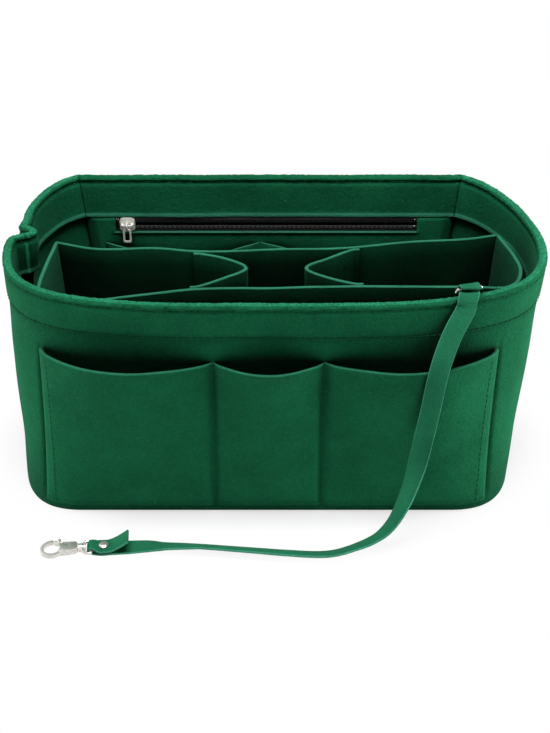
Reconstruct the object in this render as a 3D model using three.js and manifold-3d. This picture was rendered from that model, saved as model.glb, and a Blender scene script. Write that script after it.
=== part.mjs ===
// Felt purse organizer insert: an open felt tub with a turned hem, outer pockets, a zip pocket and a
// slip pocket inside the back, a loose three-cell divider, and a felt key strap with a swivel clasp.
// Millimetres, +Z up. The origin is the centre of the base's underside, and the front faces -Y.

import * as THREE from 'three';
import { mergeVertices } from 'three/addons/utils/BufferGeometryUtils.js';
import Module from 'manifold-3d';

const wasm = await Module();
wasm.setup();

// Gap left between pieces that touch or are sewn together
const SEAT_GAP = 0.3;
const POCKET_GAP = 0.5;

// Felt
const WALL_FELT = 2.5;
const POCKET_FELT = 2;
const INNER_FELT = 1.2;
const DIVIDER_FELT = 2;
const BASE_FELT = 3;

// Tub outline, at the rim and at the base
const RIM_HEIGHT = 133;
const RIM_HALF_WIDTH = 80;
const BASE_HALF_WIDTH = 72;
const RIM_RIGHT_REACH = 149;
const RIM_LEFT_REACH = 142.5;
const BASE_RIGHT_REACH = 139.2;
const BASE_LEFT_REACH = 142.5;
const RIM_APEX_Y = -2;
const RIM_FRONT_STRAIGHT = 20;
const BASE_CORNER = 39;
const RIM_FRONT_HANDLE = 92;
const BASE_FRONT_HANDLE = 29.5;
const RIM_FRONT_SIDE_HANDLE = 60;
const BASE_FRONT_SIDE_HANDLE = 48;
const RIM_BACK_SIDE_HANDLE = 37;
const BASE_BACK_SIDE_HANDLE = 39;
const RIM_BACK_CORNER = 116;
const BASE_BACK_CORNER = 100;
const RIM_BACK_HANDLE_X = 18;
const RIM_BACK_HANDLE_Y = 12;
const BASE_BACK_HANDLE_X = 24;

// Turned hem round the rim
const HEM_DEPTH = 23;
const HEM_THICKNESS = 5;

// Pleat pushed into the middle of the left end
const PLEAT_DEPTH = 9;
const PLEAT_HALF_WIDTH = 5;
const PLEAT_Y = 6;
const PLEAT_FOOT = 40;

// Outer pockets, front and back
const POCKET_DROP = 33;
const POCKET_FOOT = 5;
const POCKET_SEAM_X = 28;
const FRONT_POCKET_EDGE = 117;
const BACK_POCKET_EDGE = 94;
const SIDE_POCKET_BULGE = 11;
const MIDDLE_POCKET_BULGE = 11;
const SWELL_POWER = 0.95;
const RISE_POWER = 1.5;

// Zip pocket inside the back wall
const ZIP_LEFT = -94;
const ZIP_RIGHT = 89.5;
const ZIP_WINDOW = 8.5;
const TAPE_THICKNESS = 0.6;
const TAPE_LAP = 5;
const COMB_THICKNESS = 1.4;
const COMB_OPEN = 1.3;
const TOOTH_HEIGHT = 1.3;
const TOOTH_WIDTH = 1.4;
const TOOTH_PITCH = 2.8;
const SPINE_HEIGHT = 0.5;
const ZIP_PANEL_MARGIN = 3;
const ZIP_PANEL_TAPER = 6;
const PLATE_THICKNESS = 0.8;
const PLATE_CLEARANCE = 0.4;
const SLIDER_LENGTH = 9.2;
const SLIDER_WIDTH = 8.2;
const PLATE_CORNER = 2;
const FLANGE_WIDTH = 0.7;
const POST_LENGTH = 2.4;
const POST_WIDTH = 1.8;
const POST_POINT = 1;
const POST_INSET = 0.4;
const BAIL_LENGTH = 7;
const BAIL_RISE = 3.6;
const BAIL_BAR = 1.1;
const BAIL_CORNER = 1.5;
const STOP_LENGTH = 1.8;
const PULL_RING_RADIUS = 2;
const PULL_WIRE = 0.5;
const PULL_WIDTH = 5;
const PULL_LENGTH = 10.4;
const PULL_THICKNESS = 1;
const PULL_FRAME = 1.1;
const PULL_CORNER = 1.2;
const PULL_HOLE_CORNER = 0.8;

// Slip pocket sewn over the zip pocket
const SLIP_DROP = 38.5;
const SLIP_DIP = 8;
const SLIP_DIP_POWER = 0.7;
const SLIP_FOOT_MARGIN = 2;
const SLIP_SEAM_X = -6;
const SLIP_SIDE_MARGIN = 2;
const SLIP_BULGE = 9;

// Loose divider
const DIVIDER_DROP = 11;
const DIVIDER_FOOT_CLEARANCE = 10.7;
const DIVIDER_LEFT_CLEARANCE = 23;
const DIVIDER_RIGHT_CLEARANCE = 14.4;
const DIVIDER_FRONT_CLEARANCE = 40.5;
const DIVIDER_DEPTH = 45;
const DIVIDER_LEFT_SEAM_X = -38;
const DIVIDER_RIGHT_SEAM_X = 46;
const PARTITION_BULGE = 27;
const PARTITION_FLANGE = 5.5;
const PANEL_BUTT_GAP = 0.7;

// Key strap, its ring and the tab that holds the ring
const STRAP_WIDTH = 10;
const STRAP_THICKNESS = 1.2;
const STRAP_NECK = 6.8;
const ANCHOR_X = 102;
const RING_WIRE = 1.8;
const RING_SIDE_CLEARANCE = 1;
const RING_CORNER = 1.5;
const RING_TOP_ABOVE_RIM = 1.2;
const RING_TAB_HEIGHT = 15;
const RING_TAB_WIDTH = 9;
const RING_TAB_TOP = 5.5;

// Swivel clasp at the strap's far end
const CLASP_X = -93.2;
const CLASP_OUT = 16;
const CLASP_TURN = 3.234;
const EYE_WIRE = 1.6;
const EYE_SIDE_CLEARANCE = 0.5;
const EYE_LEG = 2.6;
const EYE_SHOULDER = 1.9;
const COLLAR_LENGTH = 2.4;
const COLLAR_RADIUS = 2.3;
const COLLAR_ROOT = 1;
const STEM_CLEARANCE = 0.5;
const STEM_RADIUS = 0.95;
const STEM_HEAD_RADIUS = 1.8;
const STEM_HEAD_LENGTH = 1;
const HOOK_THICKNESS = 3.4;
const HOOK_BODY_LENGTH = 8.9;
const HOOK_BODY_WIDTH = 5;
const HOOK_OUTER_RADIUS = 6;
const HOOK_WIRE = 1.6;
const HOOK_ARM_THICKNESS = 2;
const HOOK_ARM_LAP = 0.2;
const HOOK_SINK = 1.5;
const HOOK_MOUTH_ANGLE = -1.75;
const HOOK_ARM_ANGLE = 2.45;
const HOOK_ROOT_ANGLE = Math.PI + 0.2;
const CHEEK_RISE = 0.9;
const CHEEK_ROUND = 1.6;
const BODY_CORNER = 0.5;
const GATE_FROM_COLLAR = 6.1;
const GATE_PIVOT_INSET = 0.2;
const GATE_PIN_RADIUS = 0.6;
const GATE_EYE_RADIUS = 1.5;
const GATE_TONGUE = 1;
const GATE_THICKNESS = 1.8;
const GATE_TONGUE_LENGTH = 4;
const GATE_BAR_START = 3.3;
const GATE_POINT = 0.5;
const GATE_THUMB_RADIUS = 0.9;
const GATE_THUMB_SHARE = 0.62;
const GATE_SLOT = 2.2;
const SPRING_WIRE = 0.36;
const SPRING_TURNS = 1.5;

// Rivet through the strap's fold at the clasp
const RIVET_HEAD_RADIUS = 2.6;
const RIVET_HEAD_HEIGHT = 1;
const RIVET_SHANK_RADIUS = 1;
const RIVET_FROM_EYE = 6.4;

const FELT_GREEN = 0x14613d;
const felt = () => new THREE.MeshStandardMaterial({ color: FELT_GREEN, roughness: 0.95, metalness: 0 });
const blackTape = () => new THREE.MeshStandardMaterial({ color: 0x0b0c0b, roughness: 0.8, metalness: 0 });
const nickel = () => new THREE.MeshStandardMaterial({ color: 0xc9cbc8, roughness: 0.25, metalness: 1 });

const organizer = new THREE.Group();

function place(parent, name, geometry, material) {
  const mesh = new THREE.Mesh(geometry, material);
  mesh.name = name;
  parent.add(mesh);
  return mesh;
}

function mix(a, b, t) {
  return a + (b - a) * t;
}

// Solids

function signedVolume(geometry) {
  const position = geometry.getAttribute('position');
  const index = geometry.getIndex();
  const corner = [new THREE.Vector3(), new THREE.Vector3(), new THREE.Vector3()];
  let volume = 0;
  for (let i = 0; i < index.count; i += 3) {
    corner.forEach((v, k) => v.fromBufferAttribute(position, index.getX(i + k)));
    volume += corner[0].dot(corner[1].clone().cross(corner[2])) / 6;
  }
  return volume;
}

function closedSolid(points, triangles) {
  const geometry = new THREE.BufferGeometry();
  const places = points.flatMap((p) => p.toArray());
  geometry.setAttribute('position', new THREE.Float32BufferAttribute(places, 3));
  geometry.setIndex(triangles.flat());
  if (signedVolume(geometry) < 0) {
    geometry.setIndex(triangles.flatMap(([a, b, c]) => [a, c, b]));
  }
  geometry.computeVertexNormals();
  return geometry;
}

// Joins equal closed sections; an open run is capped with the section's flat outline
function loft(sections, outline) {
  const count = sections[0].length;
  const points = sections.flat();
  const triangles = [];
  for (let s = 0; s + 1 < sections.length; s += 1) {
    for (let k = 0; k < count; k += 1) {
      const a = s * count + k;
      const b = s * count + ((k + 1) % count);
      triangles.push([a, b, b + count], [a, b + count, a + count]);
    }
  }
  const cap = THREE.ShapeUtils.triangulateShape(outline, []);
  const turn = THREE.ShapeUtils.isClockWise(outline) ? 1 : -1;
  const last = (sections.length - 1) * count;
  cap.forEach(([a, b, c]) => {
    triangles.push(turn > 0 ? [a, c, b] : [a, b, c]);
    triangles.push(turn > 0 ? [last + a, last + b, last + c] : [last + a, last + c, last + b]);
  });
  return closedSolid(points, orientCaps(triangles, cap.length * 2));
}

// Turns the caps, which are the last triangles, to agree with the sides they meet
function orientCaps(triangles, capCount) {
  const sides = triangles.slice(0, triangles.length - capCount);
  const caps = triangles.slice(triangles.length - capCount);
  const edges = new Set(sides.flatMap(([a, b, c]) => [`${a} ${b}`, `${b} ${c}`, `${c} ${a}`]));
  const clash = caps.some(
    ([a, b, c]) => edges.has(`${a} ${b}`) || edges.has(`${b} ${c}`) || edges.has(`${c} ${a}`),
  );
  return clash ? [...sides, ...caps.map(([a, b, c]) => [a, c, b])] : triangles;
}

// A sheet between two faces: point(u, v, side) with u and v from 0 to 1 and side 0 or 1
function sheet(us, vs, point) {
  const columns = us.length;
  const rows = vs.length;
  const points = [];
  for (const side of [0, 1]) {
    for (const v of vs) {
      for (const u of us) {
        points.push(point(u, v, side));
      }
    }
  }
  const at = (i, j, side) => side * columns * rows + j * columns + i;
  const triangles = [];
  const quad = (a, b, c, d) => triangles.push([a, b, c], [a, c, d]);
  for (let j = 0; j + 1 < rows; j += 1) {
    for (let i = 0; i + 1 < columns; i += 1) {
      quad(at(i, j, 1), at(i + 1, j, 1), at(i + 1, j + 1, 1), at(i, j + 1, 1));
      quad(at(i, j, 0), at(i, j + 1, 0), at(i + 1, j + 1, 0), at(i + 1, j, 0));
    }
  }
  for (let i = 0; i + 1 < columns; i += 1) {
    quad(at(i, 0, 0), at(i + 1, 0, 0), at(i + 1, 0, 1), at(i, 0, 1));
    quad(at(i, rows - 1, 1), at(i + 1, rows - 1, 1), at(i + 1, rows - 1, 0), at(i, rows - 1, 0));
  }
  for (let j = 0; j + 1 < rows; j += 1) {
    quad(at(0, j, 1), at(0, j + 1, 1), at(0, j + 1, 0), at(0, j, 0));
    quad(at(columns - 1, j, 0), at(columns - 1, j + 1, 0), at(columns - 1, j + 1, 1), at(columns - 1, j, 1));
  }
  return closedSolid(points, triangles);
}

// A closed loop of round wire along a flat outline
function wireLoop(outline, radius, sides) {
  const count = outline.length;
  const points = outline.flatMap((p, k) => {
    const along = outline[(k + 1) % count].clone().sub(outline[(k + count - 1) % count]).normalize();
    return steps(sides).slice(1).map((s) => {
      const out = radius * Math.cos(2 * Math.PI * s);
      return new THREE.Vector3(p.x + along.y * out, p.y - along.x * out, radius * Math.sin(2 * Math.PI * s));
    });
  });
  const triangles = [];
  for (let k = 0; k < count; k += 1) {
    for (let j = 0; j < sides; j += 1) {
      const a = k * sides + j;
      const b = k * sides + ((j + 1) % sides);
      const c = ((k + 1) % count) * sides + j;
      const d = ((k + 1) % count) * sides + ((j + 1) % sides);
      triangles.push([a, b, d], [a, d, c]);
    }
  }
  return closedSolid(points, triangles);
}

function steps(count) {
  return Array.from({ length: count + 1 }, (_, i) => i / count);
}

function toManifold(geometry) {
  const bare = geometry.clone();
  bare.deleteAttribute('normal');
  bare.deleteAttribute('uv');
  const merged = mergeVertices(bare, 1e-4);
  const vertProperties = Float32Array.from(merged.getAttribute('position').array);
  const triVerts = Uint32Array.from(merged.getIndex().array);
  return new wasm.Manifold(new wasm.Mesh({ numProp: 3, vertProperties, triVerts }));
}

function fromManifold(manifold) {
  const mesh = manifold.getMesh();
  const geometry = new THREE.BufferGeometry();
  geometry.setAttribute('position', new THREE.Float32BufferAttribute(mesh.vertProperties, 3));
  geometry.setIndex(Array.from(mesh.triVerts));
  geometry.computeVertexNormals();
  return geometry;
}

function join(...geometries) {
  return fromManifold(geometries.map(toManifold).reduce((sum, next) => sum.add(next)));
}

function cut(geometry, ...tools) {
  const left = tools.map(toManifold).reduce((solid, tool) => solid.subtract(tool), toManifold(geometry));
  return fromManifold(left);
}

function box(x0, x1, y0, y1, z0, z1) {
  const geometry = new THREE.BoxGeometry(x1 - x0, y1 - y0, z1 - z0);
  return geometry.translate((x0 + x1) / 2, (y0 + y1) / 2, (z0 + z1) / 2);
}

function prism(outline, depth, holes = []) {
  const shape = new THREE.Shape(outline);
  shape.holes = holes.map((hole) => new THREE.Path(hole));
  return new THREE.ExtrudeGeometry(shape, { depth, bevelEnabled: false }).translate(0, 0, -depth / 2);
}

function roundedBox(width, height, radius, cornerSteps) {
  const corners = [[1, 1], [-1, 1], [-1, -1], [1, -1]];
  return corners.flatMap(([sx, sy], k) => steps(cornerSteps).map((s) => {
    const angle = (k + s) * Math.PI / 2;
    const x = sx * (width / 2 - radius) + radius * Math.cos(angle);
    const y = sy * (height / 2 - radius) + radius * Math.sin(angle);
    return new THREE.Vector2(x, y);
  }));
}

function arc(cx, cy, radius, from, to, count) {
  return steps(count).map((s) => {
    const angle = mix(from, to, s);
    return new THREE.Vector2(cx + radius * Math.cos(angle), cy + radius * Math.sin(angle));
  });
}

// Tub outline

const flat = (x, y) => new THREE.Vector2(x, y);

function halfWidth(z) {
  return mix(BASE_HALF_WIDTH, RIM_HALF_WIDTH, z / RIM_HEIGHT);
}

function backCorner(z) {
  return mix(BASE_BACK_CORNER, RIM_BACK_CORNER, z / RIM_HEIGHT);
}

// Half of the tub's outline at height z, from the middle of the front round one end to the back corner,
// drawn as if it were the right half
const outlines = new Map();

function halfOutline(z, side) {
  const key = `${z} ${side}`;
  if (!outlines.has(key)) {
    const t = z / RIM_HEIGHT;
    const half = halfWidth(z);
    const baseReach = side > 0 ? BASE_RIGHT_REACH : BASE_LEFT_REACH;
    const reach = mix(baseReach, side > 0 ? RIM_RIGHT_REACH : RIM_LEFT_REACH, t);
    const apex = mix(0, RIM_APEX_Y, t);
    const straight = mix(baseReach - BASE_CORNER, RIM_FRONT_STRAIGHT, t);
    const corner = backCorner(z);
    const path = new THREE.CurvePath();
    path.add(new THREE.LineCurve(flat(0, -half), flat(straight, -half)));
    path.add(new THREE.CubicBezierCurve(
      flat(straight, -half),
      flat(straight + mix(BASE_FRONT_HANDLE, RIM_FRONT_HANDLE, t), -half),
      flat(reach, apex - mix(BASE_FRONT_SIDE_HANDLE, RIM_FRONT_SIDE_HANDLE, t)),
      flat(reach, apex),
    ));
    path.add(new THREE.CubicBezierCurve(
      flat(reach, apex),
      flat(reach, apex + mix(BASE_BACK_SIDE_HANDLE, RIM_BACK_SIDE_HANDLE, t)),
      flat(corner + mix(BASE_BACK_HANDLE_X, RIM_BACK_HANDLE_X, t), half - RIM_BACK_HANDLE_Y * t),
      flat(corner, half),
    ));
    outlines.set(key, path);
  }
  return outlines.get(key);
}

// Outer face of the front and ends, at a share of the half outline from the middle of the front:
// its point, its direction toward the back corner and its inward direction
function wallFrame({ side, share }, z) {
  const path = halfOutline(z, side);
  const point = path.getPoint(share).clone();
  const along = path.getTangent(share);
  if (side < 0) {
    const rise = THREE.MathUtils.smoothstep(z, PLEAT_FOOT, RIM_HEIGHT);
    const reach = (point.y - PLEAT_Y) / PLEAT_HALF_WIDTH;
    const dent = PLEAT_DEPTH * rise * Math.exp(-reach * reach);
    point.x -= dent;
    along.x += dent * 2 * reach / PLEAT_HALF_WIDTH * along.y;
    along.normalize();
  }
  return {
    point: flat(point.x * side, point.y),
    along: flat(along.x * side, along.y),
    inward: flat(-along.y * side, along.x),
  };
}

// The seam at a back corner, where the ends' wall and the back wall meet on a mitre
function cornerMitre(side, z) {
  const { inward } = wallFrame({ side, share: 1 }, z);
  const mitre = inward.clone().add(flat(0, -1)).normalize();
  return mitre.divideScalar(mitre.dot(inward));
}

function wallPoint(station, z, inset) {
  const { point, along, inward } = wallFrame(station, z);
  const atSeam = station.share === 1;
  if (atSeam) {
    point.addScaledVector(along, -SEAT_GAP / 2);
  }
  point.addScaledVector(atSeam ? cornerMitre(station.side, z) : inward, inset);
  return new THREE.Vector3(point.x, point.y, z);
}

// Share of the half outline within which its X still grows
const FRONT_SHARE = 0.6;

// The station on the front whose outer face is at a given X at height z
function frontStation(x, z) {
  const side = x < 0 ? -1 : 1;
  let low = 0;
  let high = FRONT_SHARE;
  for (let i = 0; i < 30; i += 1) {
    const share = (low + high) / 2;
    if (halfOutline(z, side).getPoint(share).x < Math.abs(x)) {
      low = share;
    } else {
      high = share;
    }
  }
  return { side, share: low };
}

// Inside and outside of the back wall, which is flat
function backPoint(x, z, inset) {
  return new THREE.Vector3(x, halfWidth(z) - inset, z);
}

// Walls with the turned hem

const WALL_ROWS = [0, PLEAT_FOOT, (PLEAT_FOOT + RIM_HEIGHT - HEM_DEPTH) / 2, RIM_HEIGHT - HEM_DEPTH];
const HEM_ARC_STEPS = 6;

// Wall section as inset and height: up the outside, over the round fold and down the inside
const wallOutline = [
  ...WALL_ROWS.map((z) => flat(0, z)),
  ...arc(HEM_THICKNESS / 2, RIM_HEIGHT - HEM_THICKNESS / 2, HEM_THICKNESS / 2, Math.PI, 0, HEM_ARC_STEPS),
  flat(HEM_THICKNESS, RIM_HEIGHT - HEM_DEPTH),
  ...WALL_ROWS.map((z) => flat(WALL_FELT, z)).reverse(),
];

const HALF_STEPS = 26;
const PLEAT_STEPS = 26;
const PLEAT_FROM = 0.6;
const PLEAT_TO = 0.8;

// Shares of the half outline, closer together across the pleat
const rightShares = steps(HALF_STEPS);
const leftShares = [
  ...rightShares.filter((s) => s < PLEAT_FROM),
  ...steps(PLEAT_STEPS).map((s) => mix(PLEAT_FROM, PLEAT_TO, s)),
  ...rightShares.filter((s) => s > PLEAT_TO),
];
const wrapStations = [
  ...leftShares.slice(1).reverse().map((share) => ({ side: -1, share })),
  ...rightShares.map((share) => ({ side: 1, share })),
];

function wrapWall() {
  const sections = wrapStations.map((station) => wallOutline.map((p) => wallPoint(station, p.y, p.x)));
  return loft(sections, wallOutline);
}

function backWall() {
  const section = (side) => wallOutline.map((p) => {
    const mitre = cornerMitre(side, p.y);
    const x = side * (backCorner(p.y) - SEAT_GAP / 2) + mitre.x * p.x;
    return new THREE.Vector3(x, halfWidth(p.y) + mitre.y * p.x, p.y);
  });
  return loft([section(-1), section(1)], wallOutline);
}

function basePanel() {
  const edge = wrapStations.map((station) => {
    const { point, inward } = wallFrame(station, 0);
    const drawnIn = wallFrame(station, BASE_FELT).point.sub(point).dot(inward);
    return point.addScaledVector(inward, WALL_FELT + SEAT_GAP + Math.max(0, drawnIn));
  });
  const shape = new THREE.Shape(edge);
  return new THREE.ExtrudeGeometry(shape, { depth: BASE_FELT, bevelEnabled: false, curveSegments: 1 });
}

place(organizer, 'base_panel', basePanel(), felt());
place(organizer, 'front_and_end_wall', wrapWall(), felt());
place(organizer, 'back_wall', backWall(), felt());

// Pocket panels: one sheet sewn down at its edges, foot and seams, which stands open between them

const POCKET_COLUMNS = 12;
const POCKET_ROWS = 6;

// lay(x, z, out) puts a point at a distance out from the surface that carries the panel.
// seams(z) are the places of the seams at height z, and topAt(swell) is the height of the mouth.
function pocketPanel({ seams, bulges, foot, topAt, thickness, lay }) {
  const us = steps(POCKET_COLUMNS * bulges.length);
  return sheet(us, steps(POCKET_ROWS), (u, v, side) => {
    const pocket = Math.min(Math.floor(u * bulges.length), bulges.length - 1);
    const share = u * bulges.length - pocket;
    const swell = Math.sin(Math.PI * share);
    const z = mix(foot, topAt(swell), v);
    const x = mix(seams(z)[pocket], seams(z)[pocket + 1], share);
    const out = POCKET_GAP + bulges[pocket] * Math.pow(swell, SWELL_POWER) * Math.pow(v, RISE_POWER);
    return lay(x, z, out + side * thickness);
  });
}

const POCKET_TOP = RIM_HEIGHT - POCKET_DROP;
const outerBulges = [SIDE_POCKET_BULGE, MIDDLE_POCKET_BULGE, SIDE_POCKET_BULGE];

// The front panel's seams as signed shares of the half outline
const frontSeams = [-FRONT_POCKET_EDGE, -POCKET_SEAM_X, POCKET_SEAM_X, FRONT_POCKET_EDGE].map((x) => {
  const { side, share } = frontStation(x, POCKET_TOP);
  return side * share;
});

place(organizer, 'front_pocket_panel', pocketPanel({
  seams: () => frontSeams,
  bulges: outerBulges,
  foot: POCKET_FOOT,
  topAt: () => POCKET_TOP,
  thickness: POCKET_FELT,
  lay: (share, z, out) => wallPoint({ side: Math.sign(share) || 1, share: Math.abs(share) }, z, -out),
}), felt());

place(organizer, 'back_pocket_panel', pocketPanel({
  seams: () => [-BACK_POCKET_EDGE, -POCKET_SEAM_X, POCKET_SEAM_X, BACK_POCKET_EDGE],
  bulges: outerBulges,
  foot: POCKET_FOOT,
  topAt: () => POCKET_TOP,
  thickness: POCKET_FELT,
  lay: (x, z, out) => backPoint(x, z, -out),
}), felt());

// Zip pocket: its pieces lie at insets counted from the back wall's outer face

const HEM_EDGE_Z = RIM_HEIGHT - HEM_DEPTH;
const ZIP_Z = HEM_EDGE_Z - SEAT_GAP - ZIP_WINDOW / 2;
const LOWER_PLATE_INSET = WALL_FELT + PLATE_CLEARANCE;
const COMB_INSET = LOWER_PLATE_INSET + PLATE_THICKNESS + PLATE_CLEARANCE;
const TAPE_INSET = COMB_INSET + (COMB_THICKNESS - TAPE_THICKNESS) / 2;
const UPPER_PLATE_INSET = COMB_INSET + COMB_THICKNESS + PLATE_CLEARANCE;
const BAIL_INSET = UPPER_PLATE_INSET + PLATE_THICKNESS;
const ZIP_PANEL_INSET = TAPE_INSET + TAPE_THICKNESS + SEAT_GAP;
const COMB_EDGE = COMB_OPEN + TOOTH_HEIGHT + SPINE_HEIGHT;
const ZIP_END_LAP = 3;

function zipPanelHalf(z) {
  return backCorner(z) - ZIP_PANEL_MARGIN;
}

// The zip panel's wall-side inset: sewn to the wall at its sides and foot, standing off between
function zipPanelInset(x, z) {
  const fromSide = (zipPanelHalf(z) - Math.abs(x)) / ZIP_PANEL_TAPER;
  const fromFoot = (z - BASE_FELT - SEAT_GAP) / ZIP_PANEL_TAPER;
  const stand = Math.min(1, Math.max(0, fromSide), Math.max(0, fromFoot));
  return mix(WALL_FELT + SEAT_GAP, ZIP_PANEL_INSET, stand);
}

function zipPanel() {
  const foot = BASE_FELT + SEAT_GAP;
  const top = HEM_EDGE_Z - SEAT_GAP;
  const rows = [0, ZIP_PANEL_TAPER / (top - foot), 0.5, 1];
  const taper = ZIP_PANEL_TAPER / (2 * zipPanelHalf(top));
  const columns = [0, taper / 2, taper, 0.5, 1 - taper, 1 - taper / 2, 1];
  const panel = sheet(columns, rows, (u, v, side) => {
    const z = mix(foot, top, v);
    const x = mix(-zipPanelHalf(z), zipPanelHalf(z), u);
    return backPoint(x, z, zipPanelInset(x, z) + side * INNER_FELT);
  });
  const half = halfWidth(ZIP_Z);
  const window = box(ZIP_LEFT, ZIP_RIGHT, 0, half, ZIP_Z - ZIP_WINDOW / 2, RIM_HEIGHT);
  return cut(panel, window);
}

place(organizer, 'zip_pocket_panel', zipPanel(), felt());

// Zip frame on the leaning wall: X along the zip, Y up the wall and Z the inset
const zip = new THREE.Group();
zip.position.set(0, halfWidth(ZIP_Z), ZIP_Z);
zip.rotation.x = Math.PI / 2 - Math.atan2(RIM_HALF_WIDTH - BASE_HALF_WIDTH, RIM_HEIGHT);
organizer.add(zip);

const tapeTop = ZIP_WINDOW / 2 - SEAT_GAP;
const tapeEdge = COMB_EDGE + SEAT_GAP;
const tapeLeft = ZIP_LEFT - ZIP_END_LAP;
const tapeRight = ZIP_RIGHT + ZIP_END_LAP;
const tapeFront = TAPE_INSET + TAPE_THICKNESS;
const tapeFoot = -ZIP_WINDOW / 2 - TAPE_LAP;
const upperTape = box(tapeLeft, tapeRight, tapeEdge, tapeTop, TAPE_INSET, tapeFront);
const lowerTape = box(tapeLeft, tapeRight, tapeFoot, -tapeEdge, TAPE_INSET, tapeFront);
place(zip, 'zip_tape_upper', upperTape, blackTape());
place(zip, 'zip_tape_lower', lowerTape, blackTape());

const stopLeft = ZIP_LEFT + SEAT_GAP;
const combLeft = stopLeft + STOP_LENGTH + SEAT_GAP;
const stopRight = ZIP_RIGHT - SEAT_GAP;
const combRight = stopRight - STOP_LENGTH - SEAT_GAP;

// One row of zip teeth on its spine, with the teeth toward the middle of the zip
function zipComb(sign) {
  const count = Math.floor((combRight - combLeft) / TOOTH_PITCH);
  const outline = [flat(combRight, sign * COMB_EDGE), flat(combLeft, sign * COMB_EDGE)];
  const root = sign * (COMB_OPEN + TOOTH_HEIGHT);
  const tip = sign * COMB_OPEN;
  outline.push(flat(combLeft, root));
  for (let i = 0; i < count; i += 1) {
    const start = combLeft + (i + 0.5) * TOOTH_PITCH - TOOTH_WIDTH / 2;
    const end = start + TOOTH_WIDTH;
    outline.push(flat(start, root), flat(start, tip), flat(end, tip), flat(end, root));
  }
  outline.push(flat(combRight, root));
  return prism(outline, COMB_THICKNESS).translate(0, 0, COMB_INSET + COMB_THICKNESS / 2);
}

place(zip, 'zip_teeth_upper', zipComb(1), blackTape());
place(zip, 'zip_teeth_lower', zipComb(-1), blackTape());

const combFront = COMB_INSET + COMB_THICKNESS;
const stopEdge = COMB_EDGE;
place(zip, 'zip_end_stop', box(
  stopLeft, stopLeft + STOP_LENGTH, -stopEdge, stopEdge, COMB_INSET, combFront,
), nickel());
for (const [name, sign] of [['zip_top_stop_upper', 1], ['zip_top_stop_lower', -1]]) {
  const edges = [sign * COMB_OPEN, sign * stopEdge].sort((a, b) => a - b);
  place(zip, name, box(
    stopRight - STOP_LENGTH, stopRight, edges[0], edges[1], COMB_INSET, combFront,
  ), nickel());
}

const SLIDER_X = combLeft + SEAT_GAP + SLIDER_LENGTH / 2;

// Slider: two plates on a post that parts the teeth, flanges that hold them, and a bail for the pull
function zipSlider() {
  const halfLength = SLIDER_LENGTH / 2;
  const halfSide = SLIDER_WIDTH / 2;
  const slot = TAPE_THICKNESS / 2 + PLATE_CLEARANCE;
  const middle = TAPE_INSET + TAPE_THICKNESS / 2;
  const plateOutline = roundedBox(SLIDER_LENGTH, SLIDER_WIDTH, PLATE_CORNER, 4);
  const plate = (inset) => prism(plateOutline, PLATE_THICKNESS).translate(0, 0, inset + PLATE_THICKNESS / 2);
  const pieces = [plate(LOWER_PLATE_INSET), plate(UPPER_PLATE_INSET)];
  for (const sign of [-1, 1]) {
    const edges = [sign * (halfSide - FLANGE_WIDTH), sign * halfSide].sort((a, b) => a - b);
    const run = halfLength - PLATE_CORNER;
    pieces.push(box(-run, run, edges[0], edges[1], LOWER_PLATE_INSET + PLATE_THICKNESS / 2, middle - slot));
    pieces.push(box(-run, run, edges[0], edges[1], middle + slot, UPPER_PLATE_INSET + PLATE_THICKNESS / 2));
  }
  const post = prism([
    flat(halfLength - POST_LENGTH - POST_POINT, 0),
    flat(halfLength - POST_LENGTH, -POST_WIDTH / 2),
    flat(halfLength - POST_INSET, -POST_WIDTH / 2),
    flat(halfLength - POST_INSET, POST_WIDTH / 2),
    flat(halfLength - POST_LENGTH, POST_WIDTH / 2),
  ], UPPER_PLATE_INSET - LOWER_PLATE_INSET);
  pieces.push(post.translate(0, 0, (UPPER_PLATE_INSET + LOWER_PLATE_INSET + PLATE_THICKNESS) / 2));
  const outer = BAIL_LENGTH / 2;
  const inner = outer - BAIL_BAR;
  const bail = prism([
    flat(-outer, -PLATE_THICKNESS / 2), flat(-inner, -PLATE_THICKNESS / 2),
    flat(-inner, BAIL_RISE - BAIL_BAR), flat(inner, BAIL_RISE - BAIL_BAR),
    flat(inner, -PLATE_THICKNESS / 2), flat(outer, -PLATE_THICKNESS / 2),
    ...arc(outer - BAIL_CORNER, BAIL_RISE - BAIL_CORNER, BAIL_CORNER, 0, Math.PI / 2, 4),
    ...arc(-outer + BAIL_CORNER, BAIL_RISE - BAIL_CORNER, BAIL_CORNER, Math.PI / 2, Math.PI, 4),
  ], BAIL_BAR);
  pieces.push(bail.rotateX(Math.PI / 2).translate(0, 0, BAIL_INSET));
  return join(...pieces);
}

const slider = place(zip, 'zip_slider', zipSlider(), nickel());
slider.position.x = SLIDER_X;

// Pull: a ring round the bail's bar with an open frame hanging from it
function zipPull() {
  const ring = new THREE.TorusGeometry(PULL_RING_RADIUS, PULL_WIRE, 8, 24).rotateY(Math.PI / 2);
  const frameTop = -PULL_RING_RADIUS;
  const frameHeight = PULL_LENGTH - PULL_RING_RADIUS;
  const frame = prism(
    roundedBox(PULL_WIDTH, frameHeight, PULL_CORNER, 3),
    PULL_THICKNESS,
    [roundedBox(PULL_WIDTH - 2 * PULL_FRAME, frameHeight - 2 * PULL_FRAME, PULL_HOLE_CORNER, 3).reverse()],
  );
  return join(ring, frame.translate(0, frameTop - frameHeight / 2, 0));
}

const PULL_INSET = BAIL_INSET + BAIL_RISE - BAIL_BAR / 2;
const pull = place(zip, 'zip_pull', zipPull(), nickel());
pull.position.set(SLIDER_X, 0, PULL_INSET);

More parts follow.
